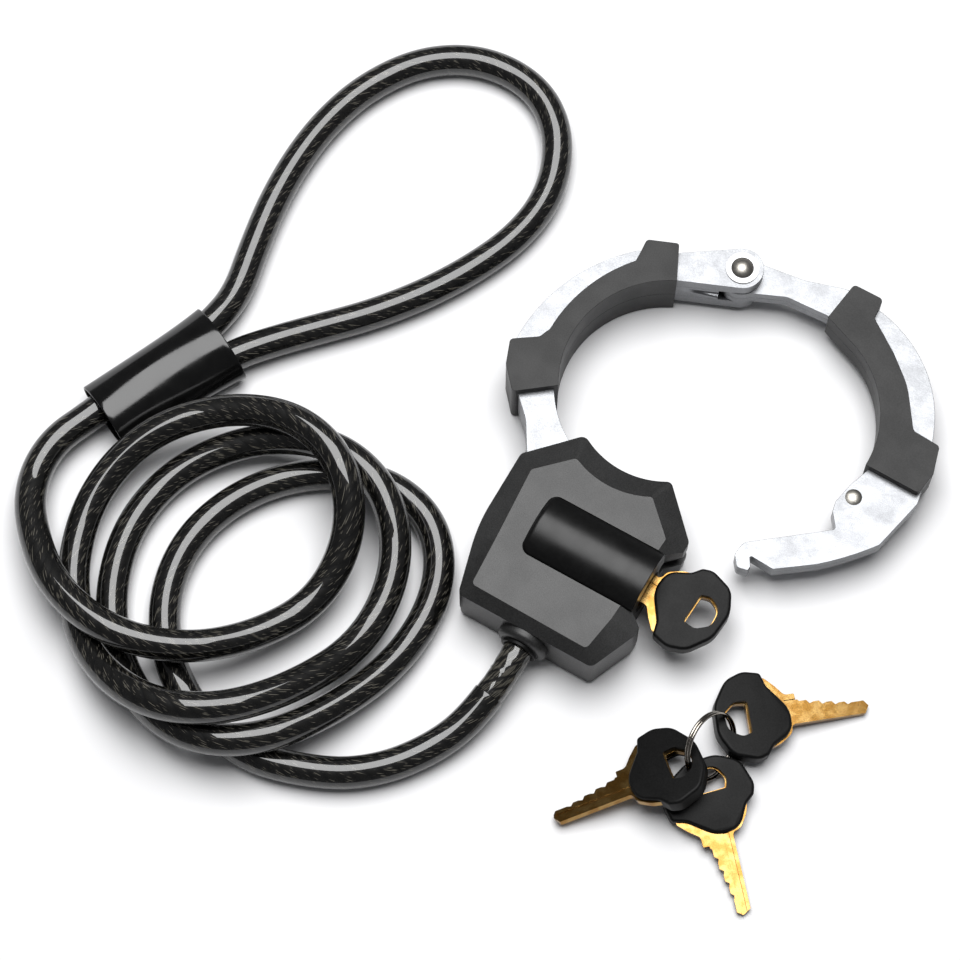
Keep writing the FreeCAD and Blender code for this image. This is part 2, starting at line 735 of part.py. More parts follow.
def cylinder_pin_shape(growth):
    """Pin that keeps the cylinder from moving along its axis."""
    y = -CYLINDER_RADIUS - CYLINDER_PIN_RADIUS + 0.6
    low = SHELL_FLOOR + 2.0 - growth
    high = CASE_TOP_Z - 1.0 + growth
    return rod(CYLINDER_PIN_RADIUS + growth, (CYLINDER_PIN_X, y, low), (CYLINDER_PIN_X, y, high))


def pin_places():
    """Positions of the pins along the key axis."""
    return [PLUG_FACE_X - FIRST_PIN_DEPTH - PIN_PITCH * index for index in range(PIN_COUNT)]


def cylinder_case():
    """Fixed body of the pin-tumbler cylinder with its row of chambers."""
    axis = KEY_AXIS_Z
    barrel = rod(CYLINDER_RADIUS, (0, 0, axis), (CYLINDER_FRONT_X, 0, axis))
    barrel = barrel.common(box((-1, -20, 0), (40, CYLINDER_FLAT_Y, 40)))
    bible = box((0, -BIBLE_HALF_WIDTH, axis), (BIBLE_FRONT_X, BIBLE_HALF_WIDTH, BIBLE_TOP_Z))
    case = joined([barrel, bible])
    case = case.cut(rod(PLUG_RADIUS + FIT, (CYLINDER_BACK_WALL, 0, axis), (40, 0, axis)))
    case = case.cut(rod(TAIL_RADIUS + FIT, (-1, 0, axis), (5, 0, axis)))
    for x in pin_places():
        case = case.cut(rod(PIN_RADIUS + FIT, (x, 0, axis), (x, 0, BIBLE_TOP_Z + 1)))
    return case.cut(cylinder_pin_shape(FIT))


def driver_pins():
    """Sprung pins above the plug."""
    low = KEY_AXIS_Z + PLUG_RADIUS + PIN_GAP
    return Part.makeCompound([rod(PIN_RADIUS, (x, 0, low), (x, 0, low + DRIVER_PIN_LENGTH))
                              for x in pin_places()])


def pin_springs():
    """Springs on the driver pins, as sleeves of the same size."""
    low = KEY_AXIS_Z + PLUG_RADIUS + PIN_GAP + DRIVER_PIN_LENGTH
    outer = PIN_RADIUS - 0.1
    return Part.makeCompound([tube(outer - SPRING_WIRE, outer, (x, 0, low), (x, 0, BIBLE_TOP_Z))
                              for x in pin_places()])


def chamber_cover():
    """Strip that closes the chambers."""
    half = CHAMBER_COVER_HALF_WIDTH
    return box((2, -half, BIBLE_TOP_Z), (BIBLE_FRONT_X - 0.2, half, BIBLE_TOP_Z + CHAMBER_COVER_THICKNESS))


def key_pins():
    """Pins in the plug, resting on the cuts of the key."""
    pins = []
    for x, seat in zip(pin_places(), KEY_SEATS):
        rest = KEY_BACK_Y - seat - FIT
        pins.append(rod(PIN_RADIUS, (x, rest, KEY_AXIS_Z), (x, PIN_GAP - PLUG_RADIUS, KEY_AXIS_Z)))
    return Part.makeCompound(pins)


def plug():
    """Rotating plug with its keyway, chambers and tail."""
    axis = KEY_AXIS_Z
    back = CYLINDER_BACK_WALL + CLEARANCE
    core = rod(PLUG_RADIUS, (back, 0, axis), (PLUG_FACE_X, 0, axis))
    slot_half = KEY_THICKNESS / 2 + KEYWAY_CLEARANCE
    tip_x = BOW_EDGE_X - KEY_LENGTH
    slot = box((tip_x - 0.3, KEY_BACK_Y - KEY_BLADE_HEIGHT - CLEARANCE, axis - slot_half),
               (40, PLUG_RADIUS + 1, axis + slot_half))
    low, high, depth = KEY_GROOVE
    ward = box((0, KEY_BACK_Y - high + CLEARANCE, axis - slot_half - 1),
               (40, KEY_BACK_Y - low - CLEARANCE, axis - slot_half + depth - CLEARANCE))
    core = core.cut(slot.cut(ward))
    chamber_y = KEY_BACK_Y - min(KEY_SEATS) + CLEARANCE
    for x in pin_places():
        core = core.cut(rod(PIN_RADIUS + FIT, (x, chamber_y, axis), (x, -PLUG_RADIUS - 1, axis)))
    tail = rod(TAIL_RADIUS, (TAIL_END_X, 0, axis), (back + 0.5, 0, axis))
    return joined([core, tail])


def cam_left_x():
    """Left face of the cam disc."""
    return TAIL_END_X - CAM_THICKNESS


def tail_cam():
    """Disc on the plug's tail with the crank pin that drives the bolt."""
    axis = KEY_AXIS_Z
    start = math.radians(CRANK_START_ANGLE)
    y = CRANK_RADIUS * math.cos(start)
    z = axis + CRANK_RADIUS * math.sin(start)
    disc = rod(CAM_RADIUS, (cam_left_x(), 0, axis), (TAIL_END_X, 0, axis))
    pin_end = cam_left_x() - CRANK_PIN_LENGTH
    return joined([disc, rod(CRANK_PIN_RADIUS, (cam_left_x() + 0.5, y, z), (pin_end, y, z))])


def cam_clip():
    """Retaining ring that holds the plug in its case."""
    right = -0.15
    return tube(TAIL_RADIUS, CLIP_RADIUS, (right - CLIP_THICKNESS, 0, KEY_AXIS_Z), (right, 0, KEY_AXIS_Z))


def locking_bolt():
    """Sliding bolt with the slot for the crank pin."""
    corners = [
        (BOLT_LEFT_X, BOLT_TAIL_Y, 0.5),
        (BOLT_RIGHT_X, BOLT_TAIL_Y, 0.5),
        (BOLT_RIGHT_X, BOLT_NOSE_Y - BOLT_NOSE_CHAMFER, 0.2),
        (BOLT_RIGHT_X - BOLT_NOSE_CHAMFER, BOLT_NOSE_Y, 0.2),
        (BOLT_LEFT_X, BOLT_NOSE_Y, 0.3),
    ]
    bar = prism(corners, BOLT_LOW_Z, BOLT_HIGH_Z)
    middle_y = -BOLT_TRAVEL / 2
    half = CRANK_PIN_RADIUS + BOLT_SLOT_CLEARANCE
    block = box((BOLT_LEFT_X, middle_y - half - BOLT_CHEEK, BOLT_HIGH_Z - 1),
                (BOLT_RIGHT_X, middle_y + half + BOLT_CHEEK, BOLT_BLOCK_TOP_Z))
    slot = box((BOLT_LEFT_X - 1, middle_y - half, BOLT_SLOT_LOW_Z),
               (BOLT_RIGHT_X + 1, middle_y + half, BOLT_BLOCK_TOP_Z + 1))
    return joined([bar, block]).cut(slot)


def plate_stack(outline, levels):
    """Plates of one outline between successive heights."""
    return [prism(outline, low, high) for low, high in zip(levels, levels[1:])]


def fixed_levels():
    """Heights of the plates of the fixed arm, from below."""
    middle = CASE_SPLIT_Z
    inner = MIDDLE_PLATE_THICKNESS
    return [middle - inner - EAR_THICKNESS, middle - inner, middle, middle + inner,
            middle + inner + EAR_THICKNESS]


def swing_levels():
    """Heights of the plates of the swinging arm, from below."""
    return [CASE_SPLIT_Z - SWING_PLATE_THICKNESS, CASE_SPLIT_Z, CASE_SPLIT_Z + SWING_PLATE_THICKNESS]


def through_holes(plate, places, radius):
    """Plate with holes through its whole height."""
    for x, y in places:
        plate = plate.cut(rod(radius, (x, y, -5), (x, y, 45)))
    return plate


def fixed_arm_plates():
    """Bottom, middle and top plates of the fixed arm."""
    plates = []
    for index, plate in enumerate(plate_stack(FIXED_ARM, fixed_levels())):
        plate = through_holes(plate, FIXED_RIVET_PLACES, RIVET_RADIUS + FIT)
        plate = through_holes(plate, ANCHOR_PIN_PLACES, ANCHOR_PIN_RADIUS + FIT)
        if index in (1, 2):
            plate = through_holes(plate, [PIVOT], HEEL_ROOM)
        else:
            plate = through_holes(plate, [PIVOT], PIVOT_RADIUS + FIT)
        plates.append(plate)
    return plates


def flush_rivets(places, radius, low, high):
    """Rivets that end flush with the plates they join."""
    return [rod(radius, (x, y, low), (x, y, high)) for x, y in places]


def domed_rivet(place, shank, head, dome, low, high):
    """Rivet with a domed head above and below."""
    x, y = place
    ball = (head * head + dome * dome) / (2 * dome)
    solid = [rod(shank, (x, y, low), (x, y, high))]
    for face, side in ((high, 1), (low, -1)):
        sphere = Part.makeSphere(ball, Vector(x, y, face + side * (dome - ball)))
        reach = face + side * (dome + 1)
        cap = box((x - head - 1, y - head - 1, min(face, reach)),
                  (x + head + 1, y + head + 1, max(face, reach)))
        solid.append(sphere.common(cap))
    return joined(solid)


def pivot_rivet():
    """Domed rivet on which the cuff swings."""
    levels = fixed_levels()
    return domed_rivet(PIVOT, PIVOT_RADIUS, PIVOT_DOME_RADIUS, PIVOT_DOME_HEIGHT,
                       levels[0] - WASHER_THICKNESS, levels[-1] + WASHER_THICKNESS)


def pivot_washers():
    """Washers between the ears and the heads of the pivot rivet."""
    x, y = PIVOT
    levels = fixed_levels()
    inner = PIVOT_RADIUS + FIT
    low = tube(inner, WASHER_RADIUS, (x, y, levels[0] - WASHER_THICKNESS), (x, y, levels[0]))
    high = tube(inner, WASHER_RADIUS, (x, y, levels[-1]), (x, y, levels[-1] + WASHER_THICKNESS))
    return Part.makeCompound([low, high])


def arm_anchor_pins():
    """Pins that hold the root of the fixed arm in the case."""
    return Part.makeCompound(flush_rivets(ANCHOR_PIN_PLACES, ANCHOR_PIN_RADIUS,
                                          ANCHOR_PIN_LOW_Z, ANCHOR_PIN_HIGH_Z))


def arm_cover(outline, arm, levels, side):
    """Upper (side 1) or lower (side -1) half of the moulded cover around an arm."""
    low = levels[0]
    high = levels[-1]
    whole = prism(outline, low - COVER_WALL, high + COVER_WALL)
    whole = whole.cut(grown_prism(arm, low - FIT, high + FIT, FIT))
    keep_low = CASE_SPLIT_Z if side > 0 else -10
    keep_high = 60 if side > 0 else CASE_SPLIT_Z
    return whole.common(box((-200, -200, keep_low), (200, 200, keep_high)))


def swing_plates():
    """Lower and upper plates of the swinging arm, turned open."""
    plates = []
    for plate in plate_stack(SWING_ARM, swing_levels()):
        plate = through_holes(plate, [PIVOT], PIVOT_RADIUS + FIT)
        plate = through_holes(plate, SWING_RIVET_PLACES, RIVET_RADIUS + FIT)
        plate = through_holes(plate, [HOOK_RIVET_PLACE], HOOK_RIVET_RADIUS + FIT)
        plates.append(turned_open(plate))
    return plates


def swing_rivets():
    """Rivets under the cover of the swinging arm."""
    levels = swing_levels()
    rivets = flush_rivets(SWING_RIVET_PLACES, RIVET_RADIUS, levels[0], levels[-1])
    return turned_open(Part.makeCompound(rivets))


def hook_rivet():
    """Rivet with low domed heads beside the hook."""
    levels = swing_levels()
    return turned_open(domed_rivet(HOOK_RIVET_PLACE, HOOK_RIVET_RADIUS, HOOK_RIVET_HEAD_RADIUS,
                                   HOOK_RIVET_HEAD_HEIGHT, levels[0], levels[-1]))


def key_blank_outline():
    """Outline of the brass key in its own frame: the bow's edge at x = 0, the tip towards -x."""
    back = KEY_BACK_Y
    tip = -KEY_LENGTH
    stop = -KEY_STOP
    cuts = []
    for index, seat in enumerate(KEY_SEATS):
        x = stop - FIRST_PIN_DEPTH - PIN_PITCH * index
        if index == 0:
            cuts += [(x + KEY_RAMP_X, back - KEY_BLADE_HEIGHT, 0.1), (x + KEY_FIRST_SEAT_HALF, back - seat, 0.1)]
        else:
            cuts += [(x + KEY_DIP_X, back - seat + KEY_DIP, 0.3), (x + KEY_SEAT_HALF, back - seat, 0.2)]
        cuts += [(x - KEY_SEAT_HALF, back - seat, 0.3)]
    cuts += [(tip + 1.2, back - KEY_SEATS[-1], 0.5), (tip, back - 2.6, 0.5)]
    head_start = [(stop, back - KEY_BLADE_HEIGHT, 0.2), (stop, back - KEY_SHOULDER_HEIGHT, 0.4)]
    return cuts[::-1] + head_start + KEY_HEAD + [(tip + 1.6, back, 0.5)]


def key_blade_solid():
    """Brass key with its milled grooves and the hole for the ring, in its own frame."""
    half = KEY_THICKNESS / 2
    blade = prism(key_blank_outline(), -half, half)
    blade = blade.cut(prism(inset(BOW_HOLE, BRASS_HOLE_INSET), -half - 1, half + 1))
    low, high, depth = KEY_RECESS
    blade = blade.cut(box((-40, KEY_BACK_Y - high, half - depth), (GROOVE_END_X, KEY_BACK_Y - low, half + 1)))
    low, high, depth = KEY_GROOVE
    return blade.cut(box((-40, KEY_BACK_Y - high, -half - 1), (GROOVE_END_X, KEY_BACK_Y - low, depth - half)))


def key_bow_solid():
    """Moulded bow around the head of the brass key, in the key's own frame."""
    half = BOW_THICKNESS / 2
    bow = prism(BOW_CORNERS, -half, half)
    rims = [edge for edge in bow.Edges if edge.BoundBox.ZLength < 0.01]
    bow = bow.makeFillet(BOW_ROUND, rims)
    bow = bow.cut(prism(BOW_HOLE, -half - 1, half + 1))
    return bow.cut(key_blade_solid())


def placed_key(shape, place):
    """A key's solid turned and moved to a place: (x, y, z of the bow's edge, angle, tilt, roll)."""
    x, y, z, angle, tilt, roll = place
    key = shape.copy()
    key.rotate(Vector(0, 0, 0), Vector(1, 0, 0), roll)
    key.rotate(Vector(0, 0, 0), Vector(0, 1, 0), -tilt)
    key.rotate(Vector(0, 0, 0), Vector(0, 0, 1), angle)
    key.translate(Vector(x, y, z))
    return key


def split_ring():
    """Ring of two turns of wire, lying slanted through the holes of the spare keys."""
    turns = []
    for side in (-0.5, 0.5):
        centre = Vector(0, 0, side * RING_TURN_PITCH)
        turns.append(Part.makeTorus(RING_RADIUS, RING_WIRE / 2, centre, Vector(0, 0, 1)))
    ring = joined(turns)
    ring.rotate(Vector(0, 0, 0), Vector(0, 1, 0), RING_TILT)
    ring.rotate(Vector(0, 0, 0), Vector(0, 0, 1), RING_LEAN_DIRECTION)
    ring.translate(Vector(*RING_CENTRE))
    return ring


def cable_anchor():
    """Ferrule crimped on the cable inside the case."""
    return tube(NECK_RADIUS + FIT, ANCHOR_RADIUS, (0, ANCHOR_BACK_Y - ANCHOR_LENGTH, GLAND_Z),
                (0, ANCHOR_BACK_Y, GLAND_Z))


def cable_grommet():
    """Rubber grommet in the boss around the cable."""
    inner_y = BODY_CORNERS[0][1] + SHELL_WALL + CASE_CLEARANCE - CLEARANCE
    body = rod(GLAND_RADIUS - GLAND_WALL - FIT, (0, inner_y, GLAND_Z), (0, GLAND_FRONT_Y, GLAND_Z))
    lip = rod(NECK_RADIUS + 1.2, (0, GLAND_FRONT_Y + 0.5, GLAND_Z),
              (0, GLAND_FRONT_Y - GROMMET_LIP, GLAND_Z))
    bore = rod(NECK_RADIUS + FIT, (0, 0, GLAND_Z), (0, -60, GLAND_Z))
    return joined([body, lip]).cut(bore)


def winding_point(angle):
    """Control point of the loose winding at an angle in degrees, counted from the ferrule."""
    turn = angle / 360.0
    for first, second in zip(WINDING_ROWS, WINDING_ROWS[1:]):
        if turn <= second[0]:
            break
    share = (turn - first[0]) / (second[0] - first[0])
    x, y, half_x, half_y = [a + share * (b - a) for a, b in zip(first[1:], second[1:])]
    z = FLOOR_Z
    for middle, rise, half_width in WINDING_HUMPS:
        offset = abs(angle - middle) / half_width
        if offset < 1:
            z += rise * math.cos(math.pi / 2 * offset) ** 2
    direction = math.radians(angle)
    return (x + WINDING_GAIN * half_x * math.cos(direction),
            y + WINDING_GAIN * half_y * math.sin(direction), z)


def winding_points():
    """Control points of the whole winding, from the lead to the tail."""
    count = int((WINDING_FIRST - WINDING_LAST) / WINDING_STEP) + 1
    return [winding_point(WINDING_FIRST - WINDING_STEP * index) for index in range(count)]


def cable_route():
    """Points of the jacketed cable from the neck to its end."""
    return LEAD_POINTS + winding_points() + TAIL_POINTS


def route_piece(points, first, last):
    """Stretch of the route between the middles of two runs, or from its start or to its end."""
    start = Vector(*points[first])
    if first > 0:
        start = (start + Vector(*points[first - 1])) / 2
    stretch = [start] + [Vector(*point) for point in points[max(first, 1):last]]
    end = Vector(*points[last - 1])
    if last < len(points):
        stretch.append((end + Vector(*points[last])) / 2)
    return stretch


def cord_tube(points, radius, name):
    """Round tube along straight runs joined by tangent arcs, with its tightest arc printed."""
    edges = []
    start = points[0]
    tightest = 1e9
    for index in range(1, len(points) - 1):
        here = points[index]
        back = points[index - 1] - here
        ahead = points[index + 1] - here
        reach = 0.45 * min(back.Length, ahead.Length)
        turn = math.pi - back.getAngle(ahead)
        tightest = min(tightest, reach / math.tan(turn / 2))
        back.normalize()
        ahead.normalize()
        arc_start = here + back * reach
        arc_end = here + ahead * reach
        arc_radius = reach / math.tan(turn / 2)
        bisector = (back + ahead).normalize()
        middle = here + bisector * (arc_radius / math.cos(turn / 2) - arc_radius)
        edges.append(Part.LineSegment(start, arc_start).toShape())
        edges.append(Part.Arc(arc_start, middle, arc_end).toShape())
        start = arc_end
    edges.append(Part.LineSegment(start, points[-1]).toShape())
    path = Part.Wire(edges)
    section = Part.Wire(Part.makeCircle(radius, points[0], points[1] - points[0]))
    tube_solid = path.makePipeShell([section], True, False)
    if tube_solid.Volume < 0:
        tube_solid.reverse()
    expected = math.pi * radius * radius * path.Length
    print("%s length %.1f tightest radius %.1f volume ratio %.4f"
          % (name, path.Length, tightest, tube_solid.Volume / expected))
    return tube_solid


def cable_pieces():
    """Jacketed cable as a lead, three turns of the winding, and the tail with its eye."""
    points = cable_route()
    turn = int(360 / WINDING_STEP)
    first = len(LEAD_POINTS) + 2
    cuts = [0, first, first + turn, first + 2 * turn, len(LEAD_POINTS) + len(winding_points()), len(points)]
    names = ["cable_lead", "cable_turn_lower", "cable_turn_middle", "cable_turn_upper", "cable_eye"]
    pieces = {}
    for name, start, end in zip(names, cuts, cuts[1:]):
        pieces[name] = cord_tube(route_piece(points, start, end), CABLE_RADIUS, name)
    return pieces


def stadium(half_width, half_height, distance):
    """Flattened ring outline across the ferrule's axis, at a distance from its foot."""
    straight = half_width - half_height
    corners = [
        (straight, 0, half_height, -90.0, 90.0),
        (-straight, 0, half_height, 90.0, 270.0),
    ]
    wire = outline_wire(corners)
    foot = Vector(FERRULE_FOOT[0], FERRULE_FOOT[1], FERRULE_Z)
    axis = Vector(FERRULE_HEAD[0], FERRULE_HEAD[1], FERRULE_Z) - foot
    axis.normalize()
    across = Vector(0, 0, 1).cross(axis)
    frame = FreeCAD.Matrix(across.x, 0, axis.x, foot.x + axis.x * distance,
                           across.y, 0, axis.y, foot.y + axis.y * distance,
                           across.z, 1, axis.z, foot.z + axis.z * distance,
                           0, 0, 0, 1)
    return wire.transformGeometry(frame)


def ferrule_length():
    """Length of the sleeve from foot to head."""
    return math.hypot(FERRULE_HEAD[0] - FERRULE_FOOT[0], FERRULE_HEAD[1] - FERRULE_FOOT[1])


def crimp_ferrule():
    """Metal ferrule crimped over both strands of the eye."""
    half_height = CABLE_RADIUS + FERRULE_WALL
    half_width = STRAND_OFFSET + half_height - FIT
    body = Part.makeLoft([stadium(half_width, half_height, FERRULE_START),
                          stadium(half_width, half_height, FERRULE_END)], True, True)
    for points in (TAIL_POINTS[1:7], TAIL_POINTS[-4:]):
        body = body.cut(cord_tube([Vector(*point) for point in points], CABLE_RADIUS + FIT, "ferrule bore"))
    return body


def ferrule_sleeve():
    """Shrunk sleeve over the ferrule, wider at the eye."""
    length = ferrule_length()
    outer = Part.makeLoft([stadium(SLEEVE_FOOT_HALF_WIDTH, SLEEVE_HALF_HEIGHT, 0),
                           stadium(SLEEVE_HEAD_HALF_WIDTH, SLEEVE_HALF_HEIGHT, length)], True, True)
    wall = SLEEVE_WALL
    inner = Part.makeLoft([stadium(SLEEVE_FOOT_HALF_WIDTH - wall, SLEEVE_HALF_HEIGHT - wall, -0.5),
                           stadium(SLEEVE_HEAD_HALF_WIDTH - wall, SLEEVE_HALF_HEIGHT - wall, length + 0.5)],
                          True, True)
    return outer.cut(inner)


def export(name, shape):
    """Write one node as a STEP file and report it."""
    shape.exportStep("parts/%s.step" % name)
    print("%-26s solids %d volume %9.1f valid %s"
          % (name, len(shape.Solids), shape.Volume, shape.isValid()))


def main():
    """Build and write every node."""
    os.makedirs("parts", exist_ok=True)
    fixed_bottom, fixed_low, fixed_high, fixed_top = fixed_arm_plates()
    swing_low, swing_high = swing_plates()
    blade = key_blade_solid()
    bow = key_bow_solid()
    fixed_rivets = flush_rivets(FIXED_RIVET_PLACES, RIVET_RADIUS, fixed_levels()[0], fixed_levels()[-1])
    nodes = {
        "upper_shell": upper_shell(),
        "lower_shell": lower_shell(),
        "barrel_cover": barrel_cover(),
        "case_upper": case_half(CASE_SPLIT_Z, CASE_TOP_Z),
        "case_lower": case_half(SHELL_FLOOR, CASE_SPLIT_Z),
        "case_screws": case_screws(),
        "cylinder_case": cylinder_case(),
        "cylinder_pin": cylinder_pin_shape(0),
        "driver_pins": driver_pins(),
        "pin_springs": pin_springs(),
        "chamber_cover": chamber_cover(),
        "plug": plug(),
        "key_pins": key_pins(),
        "tail_cam": tail_cam(),
        "cam_clip": cam_clip(),
        "locking_bolt": locking_bolt(),
        "fixed_arm_bottom_plate": fixed_bottom,
        "fixed_arm_middle_plates": Part.makeCompound([fixed_low, fixed_high]),
        "fixed_arm_top_plate": fixed_top,
        "fixed_arm_rivets": Part.makeCompound(fixed_rivets),
        "fixed_cover_upper": arm_cover(FIXED_COVER, FIXED_ARM, fixed_levels(), 1),
        "fixed_cover_lower": arm_cover(FIXED_COVER, FIXED_ARM, fixed_levels(), -1),
        "arm_anchor_pins": arm_anchor_pins(),
        "pivot_rivet": pivot_rivet(),
        "pivot_washers": pivot_washers(),
        "swing_lower_plate": swing_low,
        "swing_upper_plate": swing_high,
        "swing_cover_upper": turned_open(arm_cover(SWING_COVER, SWING_ARM, swing_levels(), 1)),
        "swing_cover_lower": turned_open(arm_cover(SWING_COVER, SWING_ARM, swing_levels(), -1)),
        "swing_rivets": swing_rivets(),
        "hook_rivet": hook_rivet(),
        "key_blade": placed_key(blade, (BOW_EDGE_X, 0, KEY_AXIS_Z, 0, 0, 0)),
        "key_bow": placed_key(bow, (BOW_EDGE_X, 0, KEY_AXIS_Z, 0, 0, 0)),
        "cable_anchor": cable_anchor(),
        "cable_grommet": cable_grommet(),
        "cable_neck": cord_tube([Vector(*point) for point in NECK_POINTS], NECK_RADIUS, "cable_neck"),
        "crimp_ferrule": crimp_ferrule(),
        "ferrule_sleeve": ferrule_sleeve(),
        "split_ring": split_ring(),
    }
    nodes.update(cable_pieces())
    for index, place in enumerate(SPARE_KEY_PLACES):
        nodes["spare_key_blade_%d" % (index + 1)] = placed_key(blade, place)
        nodes["spare_key_bow_%d" % (index + 1)] = placed_key(bow, place)
    for name, shape in nodes.items():
        export(name, shape)


main()
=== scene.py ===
"""Looks of a keyed cuff lock with a looped cable and three spare keys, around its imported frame."""
import json
import math

import bmesh
import bpy
from mathutils import Matrix, Vector

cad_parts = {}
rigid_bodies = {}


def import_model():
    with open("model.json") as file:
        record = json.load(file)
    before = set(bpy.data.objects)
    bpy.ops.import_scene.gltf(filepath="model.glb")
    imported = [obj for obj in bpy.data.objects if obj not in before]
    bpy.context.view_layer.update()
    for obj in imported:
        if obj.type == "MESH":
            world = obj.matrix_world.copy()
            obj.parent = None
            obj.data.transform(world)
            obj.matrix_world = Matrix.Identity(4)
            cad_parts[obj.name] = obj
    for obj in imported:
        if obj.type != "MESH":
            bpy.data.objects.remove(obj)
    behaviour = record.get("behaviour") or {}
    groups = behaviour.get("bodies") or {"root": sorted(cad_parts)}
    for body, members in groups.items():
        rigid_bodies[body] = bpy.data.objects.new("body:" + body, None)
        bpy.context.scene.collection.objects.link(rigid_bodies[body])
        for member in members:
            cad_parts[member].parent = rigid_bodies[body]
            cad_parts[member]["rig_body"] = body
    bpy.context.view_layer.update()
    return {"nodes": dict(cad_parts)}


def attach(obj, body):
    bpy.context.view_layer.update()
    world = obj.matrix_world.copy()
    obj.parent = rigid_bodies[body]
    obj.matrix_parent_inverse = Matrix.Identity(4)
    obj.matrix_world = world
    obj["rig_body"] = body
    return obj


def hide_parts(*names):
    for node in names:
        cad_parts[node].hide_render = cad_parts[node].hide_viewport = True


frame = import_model()
NODES = frame["nodes"]
MM = 0.001

# Camera: its place and what it looks at, in millimetres, and the row frame's direction that is up
# in the picture. Its far clipping is in metres.
CAMERA_PLACE = (136.63, -296.67, 974.46)
CAMERA_TARGET = (-40.706, 10.484, 0.0)
PICTURE_UP = (-0.5, 0.866, 0.0)
SENSOR_WIDTH = 36.0
LENS = 120.56
CLIP_END = 10.0

# Light: one wide softbox high over the object and a dim room, in metres and watts.
SOFTBOX_SIZE = 1.1
SOFTBOX_PLACE = (-0.20, 0.30, 1.35)
SOFTBOX_POWER = 27.0
ROOM_COLOUR = (0.84, 0.85, 0.88, 1.0)
ROOM_STRENGTH = 0.13
FLOOR_SIZE = 6.0
FLOOR_COLOUR = (0.86, 0.86, 0.87, 1.0)
FLOOR_ROUGHNESS = 0.6

# Cable: radii in millimetres and the control points of its route, as in the part's source.
CABLE_RADIUS = 5.15
NECK_RADIUS = 4.8
JACKET_EDGE = 0.3
JACKET_EDGE_SHARES = (0.0, 0.1, 0.25, 0.5, 1.0)
CABLE_SIDES = 40
CURVE_STEPS = 12
NECK_STEPS = 4
WINDING_ROWS = [
    (0.4, -119.0, -54.0, 48.0, 46.0),
    (0.9, -110.0, -52.0, 39.5, 42.0),
    (1.4, -90.9, -58.8, 53.0, 50.3),
    (1.9, -93.5, -56.5, 44.0, 53.5),
    (2.4, -79.0, -63.5, 52.5, 53.0),
    (2.9, -75.5, -54.5, 38.0, 54.5),
    (3.4, -60.0, -57.0, 49.0, 46.0),
    (4.0, -58.5, -57.0, 53.0, 51.0),
]
WINDING_HUMPS = [
    (272.0, 14.8, 112.0),
    (430.0, 21.6, 92.0),
    (512.0, 8.6, 54.0),
    (657.0, 20.6, 86.0),
    (795.0, 12.0, 84.0),
    (1014.0, 12.0, 70.0),
]
WINDING_STEP = 30.0
WINDING_FIRST = 1350.0
WINDING_LAST = 210.0
WINDING_GAIN = 1.035
FLOOR_Z = 5.2
NECK_POINTS = [
    (0.0, -25.0, 11.4),
    (0.0, -39.8, 11.4),
    (-0.15, -46.4, 10.14),
    (-1.0, -52.5, 8.8),
]
LEAD_POINTS = [
    (-1.0, -52.5, 8.8),
    (-2.4, -62.5, 6.6),
    (-8.0, -75.5, 5.3),
    (-18.0, -89.0, 5.2),
    (-32.5, -99.5, 5.2),
]
TAIL_POINTS = [
    (-163.8, -62.5, 8.2),
    (-164.6, -48.5, 7.6),
    (-159.2, -35.5, 7.3),
    (-152.9, -18.5, 7.3),
    (-146.0, -1.5, 7.3),
    (-142.2, 11.5, 6.9),
    (-140.9, 25.0, 5.4),
    (-144.9, 42.0, 5.2),
    (-148.2, 60.0, 5.2),
    (-149.2, 78.0, 5.2),
    (-147.7, 94.5, 5.2),
    (-143.0, 111.0, 5.2),
    (-133.4, 127.0, 5.2),
    (-120.0, 137.2, 5.2),
    (-105.2, 140.8, 5.2),
    (-91.0, 138.4, 5.2),
    (-80.0, 130.0, 5.2),
    (-72.8, 117.5, 5.2),
    (-69.8, 103.0, 5.2),
    (-72.2, 87.0, 5.2),
    (-79.0, 71.0, 5.2),
    (-88.0, 55.5, 5.2),
    (-99.5, 40.5, 5.2),
    (-111.5, 28.0, 5.3),
    (-122.5, 16.0, 5.9),
    (-130.8, 5.0, 7.2),
    (-137.3, -9.2, 7.3),
    (-144.0, -23.7, 7.3),
]

# Shrunk film on the neck: how far it sinks in, its wrinkles and its folded edge, in millimetres.
# The twist and the waves of the wrinkles are in radians per metre, the fold's place and width are
# shares of the length, and its turn is in radians.
FILM_SINK = 0.12
WRINKLE_DEPTH = 0.09
WRINKLE_COUNT = 3
WRINKLE_TWIST = 900
WRINKLE_WAVES = 420
FOLD_HEIGHT = 0.16
FOLD_PLACE = 0.72
FOLD_WIDTH = 0.02
FOLD_TURN = 1.0

# Sleeve over the crimped end of the cable, in millimetres: its ends, its wall, and the section.
# The section widens evenly towards the head and flares at its end, and its crown dips halfway.
SLEEVE_FOOT = (-155.0, -34.0, 7.4)
SLEEVE_HEAD = (-135.7, 7.4, 7.4)
SLEEVE_WALL = 0.85
SLEEVE_HALF_WIDTH = 12.5
SLEEVE_WIDENING = 0.4
SLEEVE_FLARE = 1.4
SLEEVE_FLARE_POWER = 4
SLEEVE_CROWN = 8.7
SLEEVE_CROWN_DIP = 0.3
SLEEVE_CROWN_FLARE = 0.6
SLEEVE_UNDERSIDE = 7.1
SLEEVE_RIDGE_MIDDLE = 2.4
SLEEVE_RIDGE_ENDS = 0.6
SLEEVE_ROOF = 0.25
SLEEVE_FLATNESS = 0.8
SLEEVE_STEPS = 28
SLEEVE_SIDES = 72
SLEEVE_RIM_STEPS = 5

